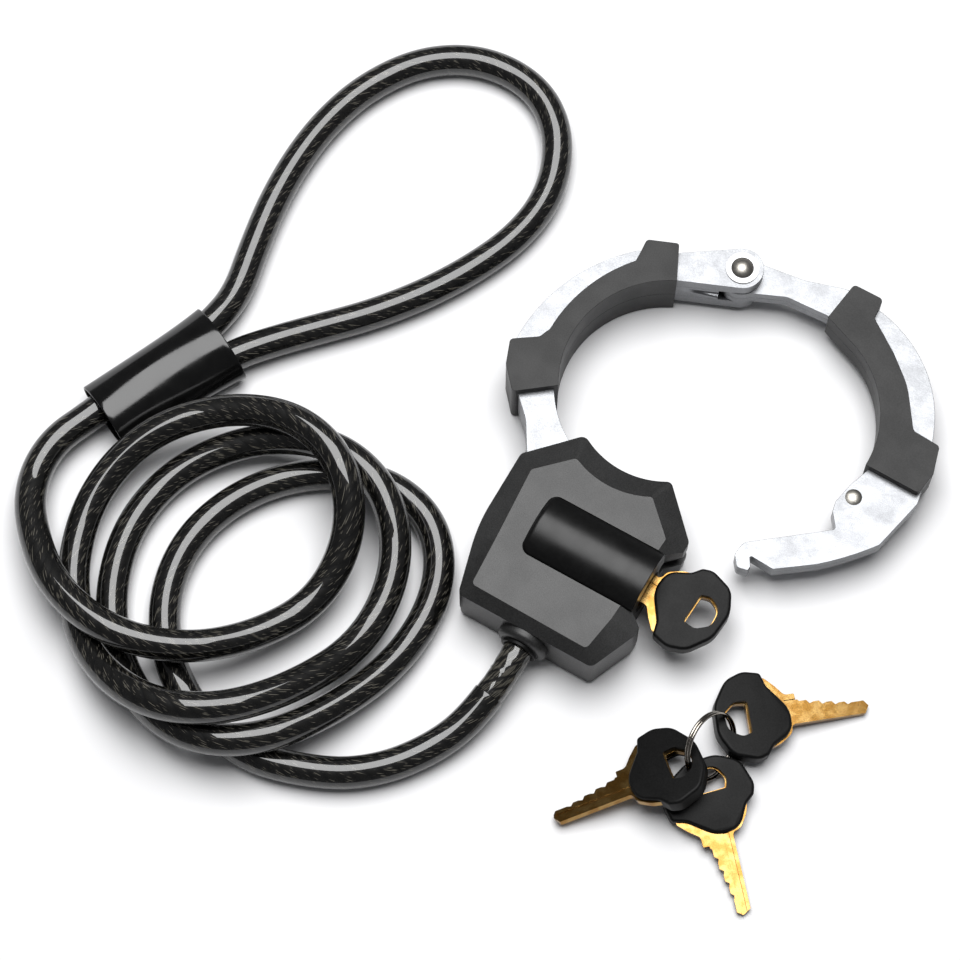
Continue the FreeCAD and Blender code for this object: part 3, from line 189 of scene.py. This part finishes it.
# Rounding of edges: points of a mesh closer than the weld, in millimetres, are joined first, and
# faces that meet flatter than the flat angle, in degrees, become one.
WELD = 0.03
FLAT_ANGLE = 1.5
ROUNDING_SEGMENTS = 3

# The part of a noise's range that its tones and its gloss span.
NOISE_SPAN = (0.3, 0.7)

# Moulded plastic and rubber: the shares of the fine grain and of the handled patches in the tone,
# the patches' size in millimetres, and the part of the tone's range that shows.
GRAIN_SHARE = 0.88
PATCH_SHARE = 0.12
PATCH_SIZE = 9.0
TONE_SPAN = (0.32, 0.68)

# Plated steel: sizes of its clouds and scratches in millimetres, how the scratches are stretched,
# the darkest tone's share of the colour, and the scratches' share of the bump.
CLOUD_SIZE = 6.0
SCRATCH_SIZE = 1.6
SCRATCH_STRETCH = (1.0, 12.0, 1.0)
STEEL_SHADE = 0.72
SCRATCH_SHARE = 0.4

# Brass: sizes of the cutter marks and the tarnish in millimetres, the tarnish's share of each
# colour channel, where it shows, the range of the roughness and the bump's depth in millimetres.
BRASS_MARK_SIZE = 0.25
TARNISH_SIZE = 3.5
TARNISH = (0.72, 0.60, 0.42)
TARNISH_SPAN = (0.36, 0.62)
BRASS_ROUGHNESS = (0.15, 0.27)
BRASS_DEPTH = 0.008

# Rope in the jacket: the strands and their lay in millimetres, the wires around the cable and the
# turns that they take back along a lay, and the painted glints (painted highlights) that show on
# them. The grooves between the strands get painted shade.
STRANDS = 7
STRAND_LAY = 30.0
WIRES_AROUND = 98.0
WIRES_ALONG = 35.0
# Painted glints: short bright dashes of painted highlight on the wires, standing in for light off
# the steel.
PAINTED_GLINTS_ALONG = 4.5
PAINTED_GLINT_NOISE_SCALE = 1.7
PAINTED_GLINT_EDGE = 0.10
PAINTED_GLINT_WIRE_SPAN = (0.55, 0.98)
PAINTED_GLINT_STRAND_SPAN = (0.15, 0.8)
PAINTED_GLINT_TONE = 0.15
PAINTED_GLINT_TINT = (1.0, 0.93, 0.76)
# Painted shade between the strands: the grooves darken to this share of the jacket's tone, over this
# span of each strand.
PAINTED_GROOVE_SHADE_SPAN = (0.1, 1.0)
PAINTED_GROOVE_SHADE = 0.3
STRAND_TINT = (1.0, 0.95, 0.82)
WIRE_HEIGHT = 0.12
ROPE_DEPTH = 0.16
ROPE_BUMP = 0.4

# Moulded materials: short name, material's name, darkest and lightest tone, roughness, size and
# depth of the grain in millimetres, specular level, and what the patches change of the roughness.
MOULDED = [
    ("body", "body_plastic", 0.008, 0.026, 0.41, 0.36, 0.05, 0.48, 0.02),
    ("cover", "arm_cover_plastic", 0.006, 0.016, 0.46, 0.45, 0.02, 0.30, 0.03),
    ("barrel", "barrel_plastic", 0.003, 0.005, 0.32, 1.2, 0.004, 0.30, 0.04),
    ("sleeve", "sleeve_plastic", 0.002, 0.004, 0.14, 5.0, 0.01, 0.5, 0.03),
    ("rubber", "bow_rubber", 0.003, 0.008, 0.42, 0.5, 0.012, 0.12, 0.03),
]
# Plated materials: short name, material's name, colour, least and greatest roughness, and size and
# depth of the grain in millimetres.
PLATED = [
    ("steel", "arm_steel", (0.235, 0.24, 0.25), 0.28, 0.44, 0.35, 0.012),
    ("fastener", "fastener_steel", (0.26, 0.26, 0.265), 0.14, 0.26, 0.5, 0.012),
    ("rivet", "rivet_steel", (0.46, 0.44, 0.40), 0.30, 0.42, 0.5, 0.012),
    ("cast", "case_metal", (0.34, 0.34, 0.34), 0.42, 0.58, 0.8, 0.03),
    ("ring", "ring_nickel", (0.40, 0.37, 0.33), 0.10, 0.20, 0.6, 0.004),
]
# Brasses: short name, material's name and colour.
MILLED = [
    ("brass", "key_brass", (0.33, 0.205, 0.07)),
    ("lock_brass", "lock_brass", (0.33, 0.215, 0.08)),
]
# Rope: short name, material's name, tone of the smoky jacket, and how rare the painted glints are.
ROPES = [
    ("cable", "cable_in_jacket", 0.0035, 0.56),
    ("neck", "cable_under_film", 0.006, 0.44),
]

SHELLS = ["upper_shell", "lower_shell"]
COVERS = ["fixed_cover_upper", "fixed_cover_lower", "swing_cover_upper", "swing_cover_lower"]
PLATES = ["fixed_arm_bottom_plate", "fixed_arm_middle_plates", "fixed_arm_top_plate",
          "swing_lower_plate", "swing_upper_plate"]
BLADES = ["key_blade"] + ["spare_key_blade_%d" % number for number in (1, 2, 3)]
BOWS = ["key_bow"] + ["spare_key_bow_%d" % number for number in (1, 2, 3)]
RIVETS = ["pivot_rivet", "hook_rivet"]
FASTENERS = ["pivot_washers", "fixed_arm_rivets", "swing_rivets", "case_screws", "arm_anchor_pins",
             "cylinder_pin", "pin_springs", "cam_clip", "tail_cam", "locking_bolt"]
CASTINGS = ["case_upper", "case_lower", "cable_anchor"]
BRASSES = ["cylinder_case", "driver_pins", "chamber_cover", "plug", "key_pins"]

# Groups of nodes: their names, finish, record slot, the rounding of their edges in millimetres,
# and the bluntest edge that is rounded, in degrees. A rounding of nothing keeps the node.
EDGE_ANGLE = 32.0
SHELL_EDGE_ANGLE = 14.0
DRESS = [
    (SHELLS, "body", "body_plastic", 0.9, SHELL_EDGE_ANGLE),
    (COVERS, "cover", "cover_plastic", 0.35, EDGE_ANGLE),
    (["barrel_cover"], "barrel", "cover_plastic", 0.5, EDGE_ANGLE),
    (PLATES, "steel", "arm_steel", 0.55, EDGE_ANGLE),
    (BLADES, "brass", "key_brass", 0.12, EDGE_ANGLE),
    (BOWS, "rubber", "rubber_black", 0.5, EDGE_ANGLE),
    (RIVETS, "rivet", "fastener_steel", 0.0, EDGE_ANGLE),
    (FASTENERS, "fastener", "fastener_steel", 0.0, EDGE_ANGLE),
    (CASTINGS, "cast", "case_metal", 0.0, EDGE_ANGLE),
    (BRASSES, "lock_brass", "lock_brass", 0.0, EDGE_ANGLE),
    (["cable_grommet"], "rubber", "rubber_black", 0.4, EDGE_ANGLE),
    (["split_ring"], "ring", "ring_steel", 0.0, EDGE_ANGLE),
]


def make_camera():
    """Camera at the photograph's viewing angle."""
    data = bpy.data.cameras.new("camera")
    data.lens = LENS
    data.sensor_width = SENSOR_WIDTH
    data.clip_end = CLIP_END
    camera = bpy.data.objects.new("camera", data)
    bpy.context.scene.collection.objects.link(camera)
    place = Vector(CAMERA_PLACE) * MM
    back = (place - Vector(CAMERA_TARGET) * MM).normalized()
    right = Vector(PICTURE_UP).cross(back).normalized()
    up = back.cross(right)
    turn = Matrix((right, up, back)).transposed().to_4x4()
    camera.matrix_world = Matrix.Translation(place) @ turn
    bpy.context.scene.camera = camera


def make_softbox():
    """Square softbox that faces the place the camera looks at."""
    data = bpy.data.lights.new("softbox", "AREA")
    data.shape = "SQUARE"
    data.size = SOFTBOX_SIZE
    data.energy = SOFTBOX_POWER
    light = bpy.data.objects.new("softbox", data)
    bpy.context.scene.collection.objects.link(light)
    light.location = SOFTBOX_PLACE
    target = Vector(tuple(value * MM for value in CAMERA_TARGET))
    light.rotation_euler = (target - Vector(SOFTBOX_PLACE)).to_track_quat("-Z", "Y").to_euler()


def make_room():
    """A dim room and a pale floor."""
    world = bpy.data.worlds.new("room")
    world.use_nodes = True
    background = world.node_tree.nodes["Background"]
    background.inputs["Color"].default_value = ROOM_COLOUR
    background.inputs["Strength"].default_value = ROOM_STRENGTH
    bpy.context.scene.world = world
    bpy.context.scene.view_settings.view_transform = "Standard"
    mesh = bpy.data.meshes.new("floor")
    half = FLOOR_SIZE / 2
    corners = [(-half, -half, 0), (half, -half, 0), (half, half, 0), (-half, half, 0)]
    mesh.from_pydata(corners, [], [(0, 1, 2, 3)])
    floor = bpy.data.objects.new("floor", mesh)
    bpy.context.scene.collection.objects.link(floor)
    shader = Shader("floor_paper", Roughness=FLOOR_ROUGHNESS)
    shader.set("Base Color", FLOOR_COLOUR)
    mesh.materials.append(shader.material)


class Shader:
    """A material around one Principled shader, and the nodes that feed it."""

    def __init__(self, name, **values):
        self.material = bpy.data.materials.new(name)
        self.material.use_nodes = True
        self.tree = self.material.node_tree
        self.principled = self.tree.nodes["Principled BSDF"]
        for key, value in values.items():
            self.set(key.replace("_", " "), value)

    def set(self, socket, value):
        """Set a socket of the Principled shader to a number or colour."""
        self.principled.inputs[socket].default_value = value

    def feed(self, socket, output):
        """Link an output to a socket of the Principled shader."""
        self.tree.links.new(output, self.principled.inputs[socket])

    def node(self, kind, settings=(), **inputs):
        """Add a node, with its settings, and its inputs set to values or linked to outputs.

        An input goes by its name, or by its number with the letter i before it.
        """
        node = self.tree.nodes.new("ShaderNode" + kind)
        for key, value in dict(settings).items():
            setattr(node, key, value)
        for key, value in inputs.items():
            numbered = key[0] == "i" and key[1:].isdigit()
            socket = node.inputs[int(key[1:]) if numbered else key.replace("_", " ")]
            if hasattr(value, "is_output"):
                self.tree.links.new(value, socket)
            else:
                socket.default_value = value
        return node

    def math(self, operation, first, second=0.0):
        """Output of a Math node."""
        return self.node("Math", {"operation": operation}, i0=first, i1=second).outputs[0]

    def arch(self, value):
        """Half a sine wave from 0 up to 1 and back over each whole step of a value."""
        return self.math("SINE", self.math("MULTIPLY", self.math("FRACT", value), math.pi))

    def place(self):
        """Place on the object in metres, which is the row frame at rest."""
        return self.node("TexCoord").outputs["Object"]

    def noise(self, size, detail=2.0, place=None, roughness=0.5):
        """Noise from 0 to 1 whose features are about this size in millimetres."""
        where = self.place() if place is None else place
        node = self.node("TexNoise", Vector=where, Scale=1.0 / (size * MM), Detail=detail,
                         Roughness=roughness)
        return node.outputs["Fac"]

    def ramp(self, value, span, out_low=0.0, out_high=1.0):
        """Value mapped smoothly from a span to another range, held at its ends."""
        node = self.node("MapRange", {"interpolation_type": "SMOOTHSTEP"}, Value=value,
                         From_Min=span[0], From_Max=span[1], To_Min=out_low, To_Max=out_high)
        return node.outputs["Result"]

    def mix(self, factor, first, second):
        """Colour mixed from two colours or outputs."""
        node = self.node("Mix", {"data_type": "RGBA"}, i0=factor, i6=first, i7=second)
        return node.outputs[2]

    def blend(self, first, first_share, second, second_share):
        """Sum of two values, each times its share."""
        return self.math("ADD", self.math("MULTIPLY", first, first_share),
                         self.math("MULTIPLY", second, second_share))

    def bump(self, height, depth, strength=1.0):
        """Bump of this depth in millimetres on the shader's base."""
        node = self.node("Bump", Height=height, Distance=depth * MM, Strength=strength)
        self.feed("Normal", node.outputs["Normal"])


def grey(value, tint=(1.0, 1.0, 1.0)):
    """Opaque colour of a brightness and a tint."""
    return (value * tint[0], value * tint[1], value * tint[2], 1.0)


def moulded(name, dark, light, roughness, grain, depth, specular, wear):
    """Moulded plastic or rubber: two tones of grain, a fine bump, and handled patches."""
    shader = Shader(name, Specular_IOR_Level=specular)
    grains = shader.noise(grain, 3.0, roughness=0.6)
    patches = shader.noise(PATCH_SIZE, 3.0)
    tone = shader.blend(grains, GRAIN_SHARE, patches, PATCH_SHARE)
    shader.feed("Base Color", shader.mix(shader.ramp(tone, TONE_SPAN), grey(dark), grey(light)))
    shader.feed("Roughness", shader.ramp(patches, NOISE_SPAN, roughness - wear, roughness + wear))
    shader.bump(grains, depth)
    return shader.material


def plated_steel(name, colour, rough_low, rough_high, grain, depth):
    """Bright plated steel with a fine uneven grain and faint scratches."""
    shader = Shader(name, Metallic=1.0)
    grains = shader.noise(grain, 4.0, roughness=0.65)
    cloud = shader.noise(CLOUD_SIZE, 3.0)
    stretched = shader.node("Mapping", Vector=shader.place(), Scale=SCRATCH_STRETCH).outputs[0]
    scratches = shader.noise(SCRATCH_SIZE, 2.0, stretched)
    darker = tuple(channel * STEEL_SHADE for channel in colour)
    tone = shader.ramp(grains, NOISE_SPAN)
    shader.feed("Base Color", shader.mix(tone, darker + (1.0,), colour + (1.0,)))
    blend = shader.blend(cloud, 0.5, scratches, 0.5)
    shader.feed("Roughness", shader.ramp(blend, NOISE_SPAN, rough_low, rough_high))
    raised = shader.math("MULTIPLY", scratches, SCRATCH_SHARE)
    shader.bump(shader.math("ADD", grains, raised), depth)
    return shader.material


def milled_brass(name, colour):
    """Bright brass with fine cutter marks and clouds of slight tarnish."""
    shader = Shader(name, Metallic=1.0)
    fine = shader.noise(BRASS_MARK_SIZE, 3.0, roughness=0.6)
    cloud = shader.noise(TARNISH_SIZE, 3.0)
    darker = tuple(channel * share for channel, share in zip(colour, TARNISH))
    tone = shader.ramp(cloud, TARNISH_SPAN)
    shader.feed("Base Color", shader.mix(tone, colour + (1.0,), darker + (1.0,)))
    shader.feed("Roughness", shader.ramp(fine, NOISE_SPAN, *BRASS_ROUGHNESS))
    shader.bump(fine, BRASS_DEPTH)
    return shader.material


def rope_in_jacket(name, smoke, painted_glint_rarity):
    """Twisted steel strands seen through a smoky jacket with a smooth gloss, with painted shade in
    the grooves between strands and painted glints (painted highlights) on the wires.

    The UV map holds the length in lays of the strands, and the turn round the cable.
    """
    shader = Shader(name, Roughness=0.45, Specular_IOR_Level=0.12, Coat_Weight=1.0,
                    Coat_Roughness=0.03, Coat_IOR=1.60)
    split = shader.node("SeparateXYZ", Vector=shader.node("UVMap").outputs["UV"])
    along, around = split.outputs["X"], split.outputs["Y"]
    twist = shader.math("MULTIPLY", shader.math("SUBTRACT", along, around), float(STRANDS))
    strand = shader.arch(twist)
    wires = shader.math("SUBTRACT", shader.math("MULTIPLY", around, WIRES_AROUND),
                        shader.math("MULTIPLY", along, WIRES_ALONG))
    wire = shader.arch(wires)
    # Painted glints: random wires get a painted highlight, only on the strands' crowns.
    seed = shader.node("CombineXYZ", X=shader.math("FLOOR", wires),
                       Y=shader.math("MULTIPLY", along, PAINTED_GLINTS_ALONG),
                       Z=shader.math("FLOOR", twist))
    painted_glint_chance = shader.node("TexNoise", Vector=seed.outputs[0], Scale=PAINTED_GLINT_NOISE_SCALE, Detail=1.0)
    lit = shader.ramp(painted_glint_chance.outputs["Fac"], (painted_glint_rarity, painted_glint_rarity + PAINTED_GLINT_EDGE))
    on_wire = shader.math("MULTIPLY", lit, shader.ramp(wire, PAINTED_GLINT_WIRE_SPAN))
    painted_glint_shine = shader.math("MULTIPLY", on_wire, shader.ramp(strand, PAINTED_GLINT_STRAND_SPAN))
    # Painted shade: the strands' colour darkens into the grooves between them.
    base = shader.mix(shader.ramp(strand, PAINTED_GROOVE_SHADE_SPAN), grey(smoke * PAINTED_GROOVE_SHADE),
                      grey(smoke, STRAND_TINT))
    shader.feed("Base Color", shader.mix(painted_glint_shine, base, grey(PAINTED_GLINT_TONE, PAINTED_GLINT_TINT)))
    height = shader.math("ADD", strand, shader.math("MULTIPLY", wire, WIRE_HEIGHT))
    shader.bump(height, ROPE_DEPTH, ROPE_BUMP)
    return shader.material


def make_materials():
    """All materials of the object by their short names."""
    materials = {}
    for table, recipe in ((MOULDED, moulded), (PLATED, plated_steel), (MILLED, milled_brass),
                          (ROPES, rope_in_jacket)):
        for short, *values in table:
            materials[short] = recipe(*values)
    return materials


def new_piece(name, mesh, material):
    """Smooth object of a mesh with one material, linked to the scene."""
    piece = bpy.data.objects.new(name, mesh)
    bpy.context.scene.collection.objects.link(piece)
    mesh.materials.clear()
    mesh.materials.append(material)
    mesh.shade_smooth()
    return piece


def winding_point(angle):
    """Control point of the loose winding at an angle in degrees, counted from the sleeve."""
    turn = angle / 360.0
    for first, second in zip(WINDING_ROWS, WINDING_ROWS[1:]):
        if turn <= second[0]:
            break
    share = (turn - first[0]) / (second[0] - first[0])
    x, y, half_x, half_y = [a + share * (b - a) for a, b in zip(first[1:], second[1:])]
    z = FLOOR_Z
    for middle, rise, half_width in WINDING_HUMPS:
        offset = abs(angle - middle) / half_width
        if offset < 1:
            z += rise * math.cos(math.pi / 2 * offset) ** 2
    direction = math.radians(angle)
    return (x + WINDING_GAIN * half_x * math.cos(direction),
            y + WINDING_GAIN * half_y * math.sin(direction), z)


def cable_route():
    """Control points of the jacketed cable from the neck to its end, in millimetres."""
    count = int((WINDING_FIRST - WINDING_LAST) / WINDING_STEP) + 1
    winding = [winding_point(WINDING_FIRST - WINDING_STEP * index) for index in range(count)]
    return LEAD_POINTS + winding + TAIL_POINTS


def smooth_line(name, points):
    """Points in metres along the smooth curve that the control points give."""
    curve = bpy.data.curves.new(name, "CURVE")
    curve.dimensions = "3D"
    curve.resolution_u = CURVE_STEPS
    spline = curve.splines.new("NURBS")
    spline.points.add(len(points) - 1)
    for control, point in zip(spline.points, points):
        control.co = (point[0] * MM, point[1] * MM, point[2] * MM, 1.0)
    spline.order_u = 3
    spline.use_endpoint_u = True
    holder = bpy.data.objects.new(name, curve)
    mesh = bpy.data.meshes.new_from_object(holder)
    line = [vertex.co.copy() for vertex in mesh.vertices]
    bpy.data.objects.remove(holder)
    bpy.data.curves.remove(curve)
    bpy.data.meshes.remove(mesh)
    return line


def tube_mesh(name, line, radius_at):
    """Closed round tube along a line, with its length in lays and its turn in a UV map.

    radius_at gives the radius in metres for a length from the start, the whole length and a turn.
    """
    lengths = [0.0]
    for before, here in zip(line, line[1:]):
        lengths.append(lengths[-1] + (here - before).length)
    total = lengths[-1]
    ahead = (line[1] - line[0]).normalized()
    side = ahead.cross(Vector((0, 0, 1))).normalized()
    mesh = bpy.data.meshes.new(name)
    build = bmesh.new()
    uv = build.loops.layers.uv.new("UVMap")
    rings = []
    for index, here in enumerate(line):
        before = line[max(index - 1, 0)]
        after = line[min(index + 1, len(line) - 1)]
        ahead = (after - before).normalized()
        side = (side - ahead * side.dot(ahead)).normalized()
        other = ahead.cross(side)
        ring = []
        for step in range(CABLE_SIDES):
            turn = step / CABLE_SIDES
            angle = 2 * math.pi * turn
            reach = radius_at(lengths[index], total, turn)
            outwards = math.cos(angle) * side + math.sin(angle) * other
            ring.append(build.verts.new(here + reach * outwards))
        rings.append(ring)
    for index, (first, second) in enumerate(zip(rings, rings[1:])):
        for step in range(CABLE_SIDES):
            after = (step + 1) % CABLE_SIDES
            face = build.faces.new((first[step], first[after], second[after], second[step]))
            corners = [(index, step), (index, step + 1), (index + 1, step + 1), (index + 1, step)]
            for loop, (row, column) in zip(face.loops, corners):
                loop[uv].uv = (lengths[row] / (STRAND_LAY * MM), column / CABLE_SIDES)
    build.faces.new(rings[0][::-1])
    build.faces.new(rings[-1])
    build.to_mesh(mesh)
    build.free()
    return mesh, total


def jacket_radius(length, total, turn):
    """Radius of the jacket, rounded off at the end where it is cut back."""
    edge = JACKET_EDGE * MM
    if length >= edge:
        return CABLE_RADIUS * MM
    drop = 1 - math.sqrt(max(0.0, 1 - (1 - length / edge) ** 2))
    return CABLE_RADIUS * MM - edge * drop


def neck_radius(length, total, turn):
    """Radius of the shrunk film on the neck, with its wrinkles and one folded edge."""
    angle = 2 * math.pi * turn
    ridges = math.sin(WRINKLE_COUNT * angle + WRINKLE_TWIST * length)
    wrinkle = WRINKLE_DEPTH * ridges * math.sin(WRINKLE_WAVES * length + angle)
    near = math.exp(-((length / total - FOLD_PLACE) / FOLD_WIDTH) ** 2)
    fold = FOLD_HEIGHT * near * (1 + math.cos(angle - FOLD_TURN))
    return (NECK_RADIUS - FILM_SINK + wrinkle + fold) * MM


def make_cable(materials):
    """Jacketed cable, its thinner neck and the sleeve at its end."""
    line = smooth_line("cable_line", cable_route())
    ahead = (line[1] - line[0]).normalized()
    edge = [line[0] + ahead * (JACKET_EDGE * MM * share) for share in JACKET_EDGE_SHARES]
    mesh, total = tube_mesh("cable_jacket", edge + line[1:], jacket_radius)
    jacket = new_piece("cable_jacket", mesh, materials["cable"])
    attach(jacket, "lock_body")
    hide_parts("cable_lead", "cable_turn_lower", "cable_turn_middle", "cable_turn_upper",
                "cable_eye")
    neck_line = smooth_line("neck_line", NECK_POINTS)
    dense = []
    for before, here in zip(neck_line, neck_line[1:]):
        dense += [before.lerp(here, share / NECK_STEPS) for share in range(NECK_STEPS)]
    mesh, _ = tube_mesh("cable_neck_film", dense + [neck_line[-1]], neck_radius)
    neck = new_piece("cable_neck_film", mesh, materials["neck"])
    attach(neck, "lock_body")
    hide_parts("cable_neck")
    sleeve = make_sleeve(materials["sleeve"])


def sleeve_section(share):
    """Half width, crown, underside and shift of the ridge at a share of the sleeve's length."""
    flare = share ** SLEEVE_FLARE_POWER
    waist = math.sin(math.pi * share)
    half_width = SLEEVE_HALF_WIDTH + SLEEVE_WIDENING * share + SLEEVE_FLARE * flare
    crown = SLEEVE_CROWN - SLEEVE_CROWN_DIP * waist + SLEEVE_CROWN_FLARE * flare
    ridge = SLEEVE_RIDGE_MIDDLE * waist - SLEEVE_RIDGE_ENDS
    return half_width, crown, SLEEVE_UNDERSIDE, ridge


def sleeve_stations(length):
    """Shares of the length and depths in the wall: out along the outside, back along the inside."""
    half_wall = SLEEVE_WALL / 2
    inset = half_wall / length
    shares = [min(max(index / SLEEVE_STEPS, inset), 1 - inset) for index in range(SLEEVE_STEPS + 1)]
    turns = [math.pi * step / SLEEVE_RIM_STEPS for step in range(1, SLEEVE_RIM_STEPS)]
    stations = [(share, 0.0) for share in shares]
    stations += [(1 - inset * (1 - math.sin(turn)), half_wall * (1 - math.cos(turn)))
                 for turn in turns]
    stations += [(share, SLEEVE_WALL) for share in shares[::-1]]
    stations += [(inset * (1 - math.sin(turn)), half_wall * (1 + math.cos(turn)))
                 for turn in turns]
    return stations


def make_sleeve(material):
    """Glossy sleeve shrunk over the crimp: a thick wall with rounded rims."""
    foot = Vector(SLEEVE_FOOT)
    span = Vector(SLEEVE_HEAD) - foot
    across = Vector((0, 0, 1)).cross(span.normalized())
    build = bmesh.new()
    rings = []
    for share, depth in sleeve_stations(span.length):
        half_width, crown, underside, ridge = sleeve_section(share)
        ring = []
        for side in range(SLEEVE_SIDES):
            angle = 2 * math.pi * side / SLEEVE_SIDES
            c, s = math.cos(angle), math.sin(angle)
            x = (half_width - depth) * c
            if s > 0:
                x += ridge * s * s
                z = (crown - depth) * s * (1 - SLEEVE_ROOF * c * c)
            else:
                z = (depth - underside) * abs(s) ** SLEEVE_FLATNESS
            point = foot + span * share + across * x + Vector((0, 0, z))
            ring.append(build.verts.new(point * MM))
        rings.append(ring)
    for first, second in zip(rings, rings[1:] + rings[:1]):
        for side in range(SLEEVE_SIDES):
            after = (side + 1) % SLEEVE_SIDES
            build.faces.new((first[side], first[after], second[after], second[side]))
    bmesh.ops.recalc_face_normals(build, faces=build.faces)
    mesh = bpy.data.meshes.new("sleeve_shell")
    build.to_mesh(mesh)
    build.free()
    sleeve = new_piece("sleeve_shell", mesh, material)
    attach(sleeve, "lock_body")
    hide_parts("ferrule_sleeve", "crimp_ferrule")
    return sleeve


def rounded_copy(node, material, width, angle):
    """Copy of a node's mesh with its edges rounded, which stands for the node."""
    mesh = NODES[node].data.copy()
    build = bmesh.new()
    build.from_mesh(mesh)
    bmesh.ops.remove_doubles(build, verts=build.verts, dist=WELD * MM)
    bmesh.ops.dissolve_limit(build, angle_limit=math.radians(FLAT_ANGLE), verts=build.verts,
                             edges=build.edges)
    build.to_mesh(mesh)
    build.free()
    if mesh.has_custom_normals:
        mesh.attributes.remove(mesh.attributes["custom_normal"])
    piece = new_piece(node + "_rounded", mesh, material)
    bevel = piece.modifiers.new("rounding", "BEVEL")
    bevel.width = width * MM
    bevel.segments = ROUNDING_SEGMENTS
    bevel.limit_method = "ANGLE"
    bevel.angle_limit = math.radians(angle)
    bevel.use_clamp_overlap = True
    bevel.harden_normals = True
    bevel.miter_outer = "MITER_ARC"
    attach(piece, NODES[node]["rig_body"])
    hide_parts(node)


def dress_nodes(materials):
    """Give every node that stays its material, and round the edges of the ones that show."""
    for names, finish, slot, rounding, angle in DRESS:
        for name in names:
            data = NODES[name].data
            data.materials.clear()
            data.materials.append(materials[finish])
            if rounding:
                rounded_copy(name, materials[finish], rounding, angle)


make_camera()
materials = make_materials()
make_softbox()
make_room()
make_cable(materials)
dress_nodes(materials)
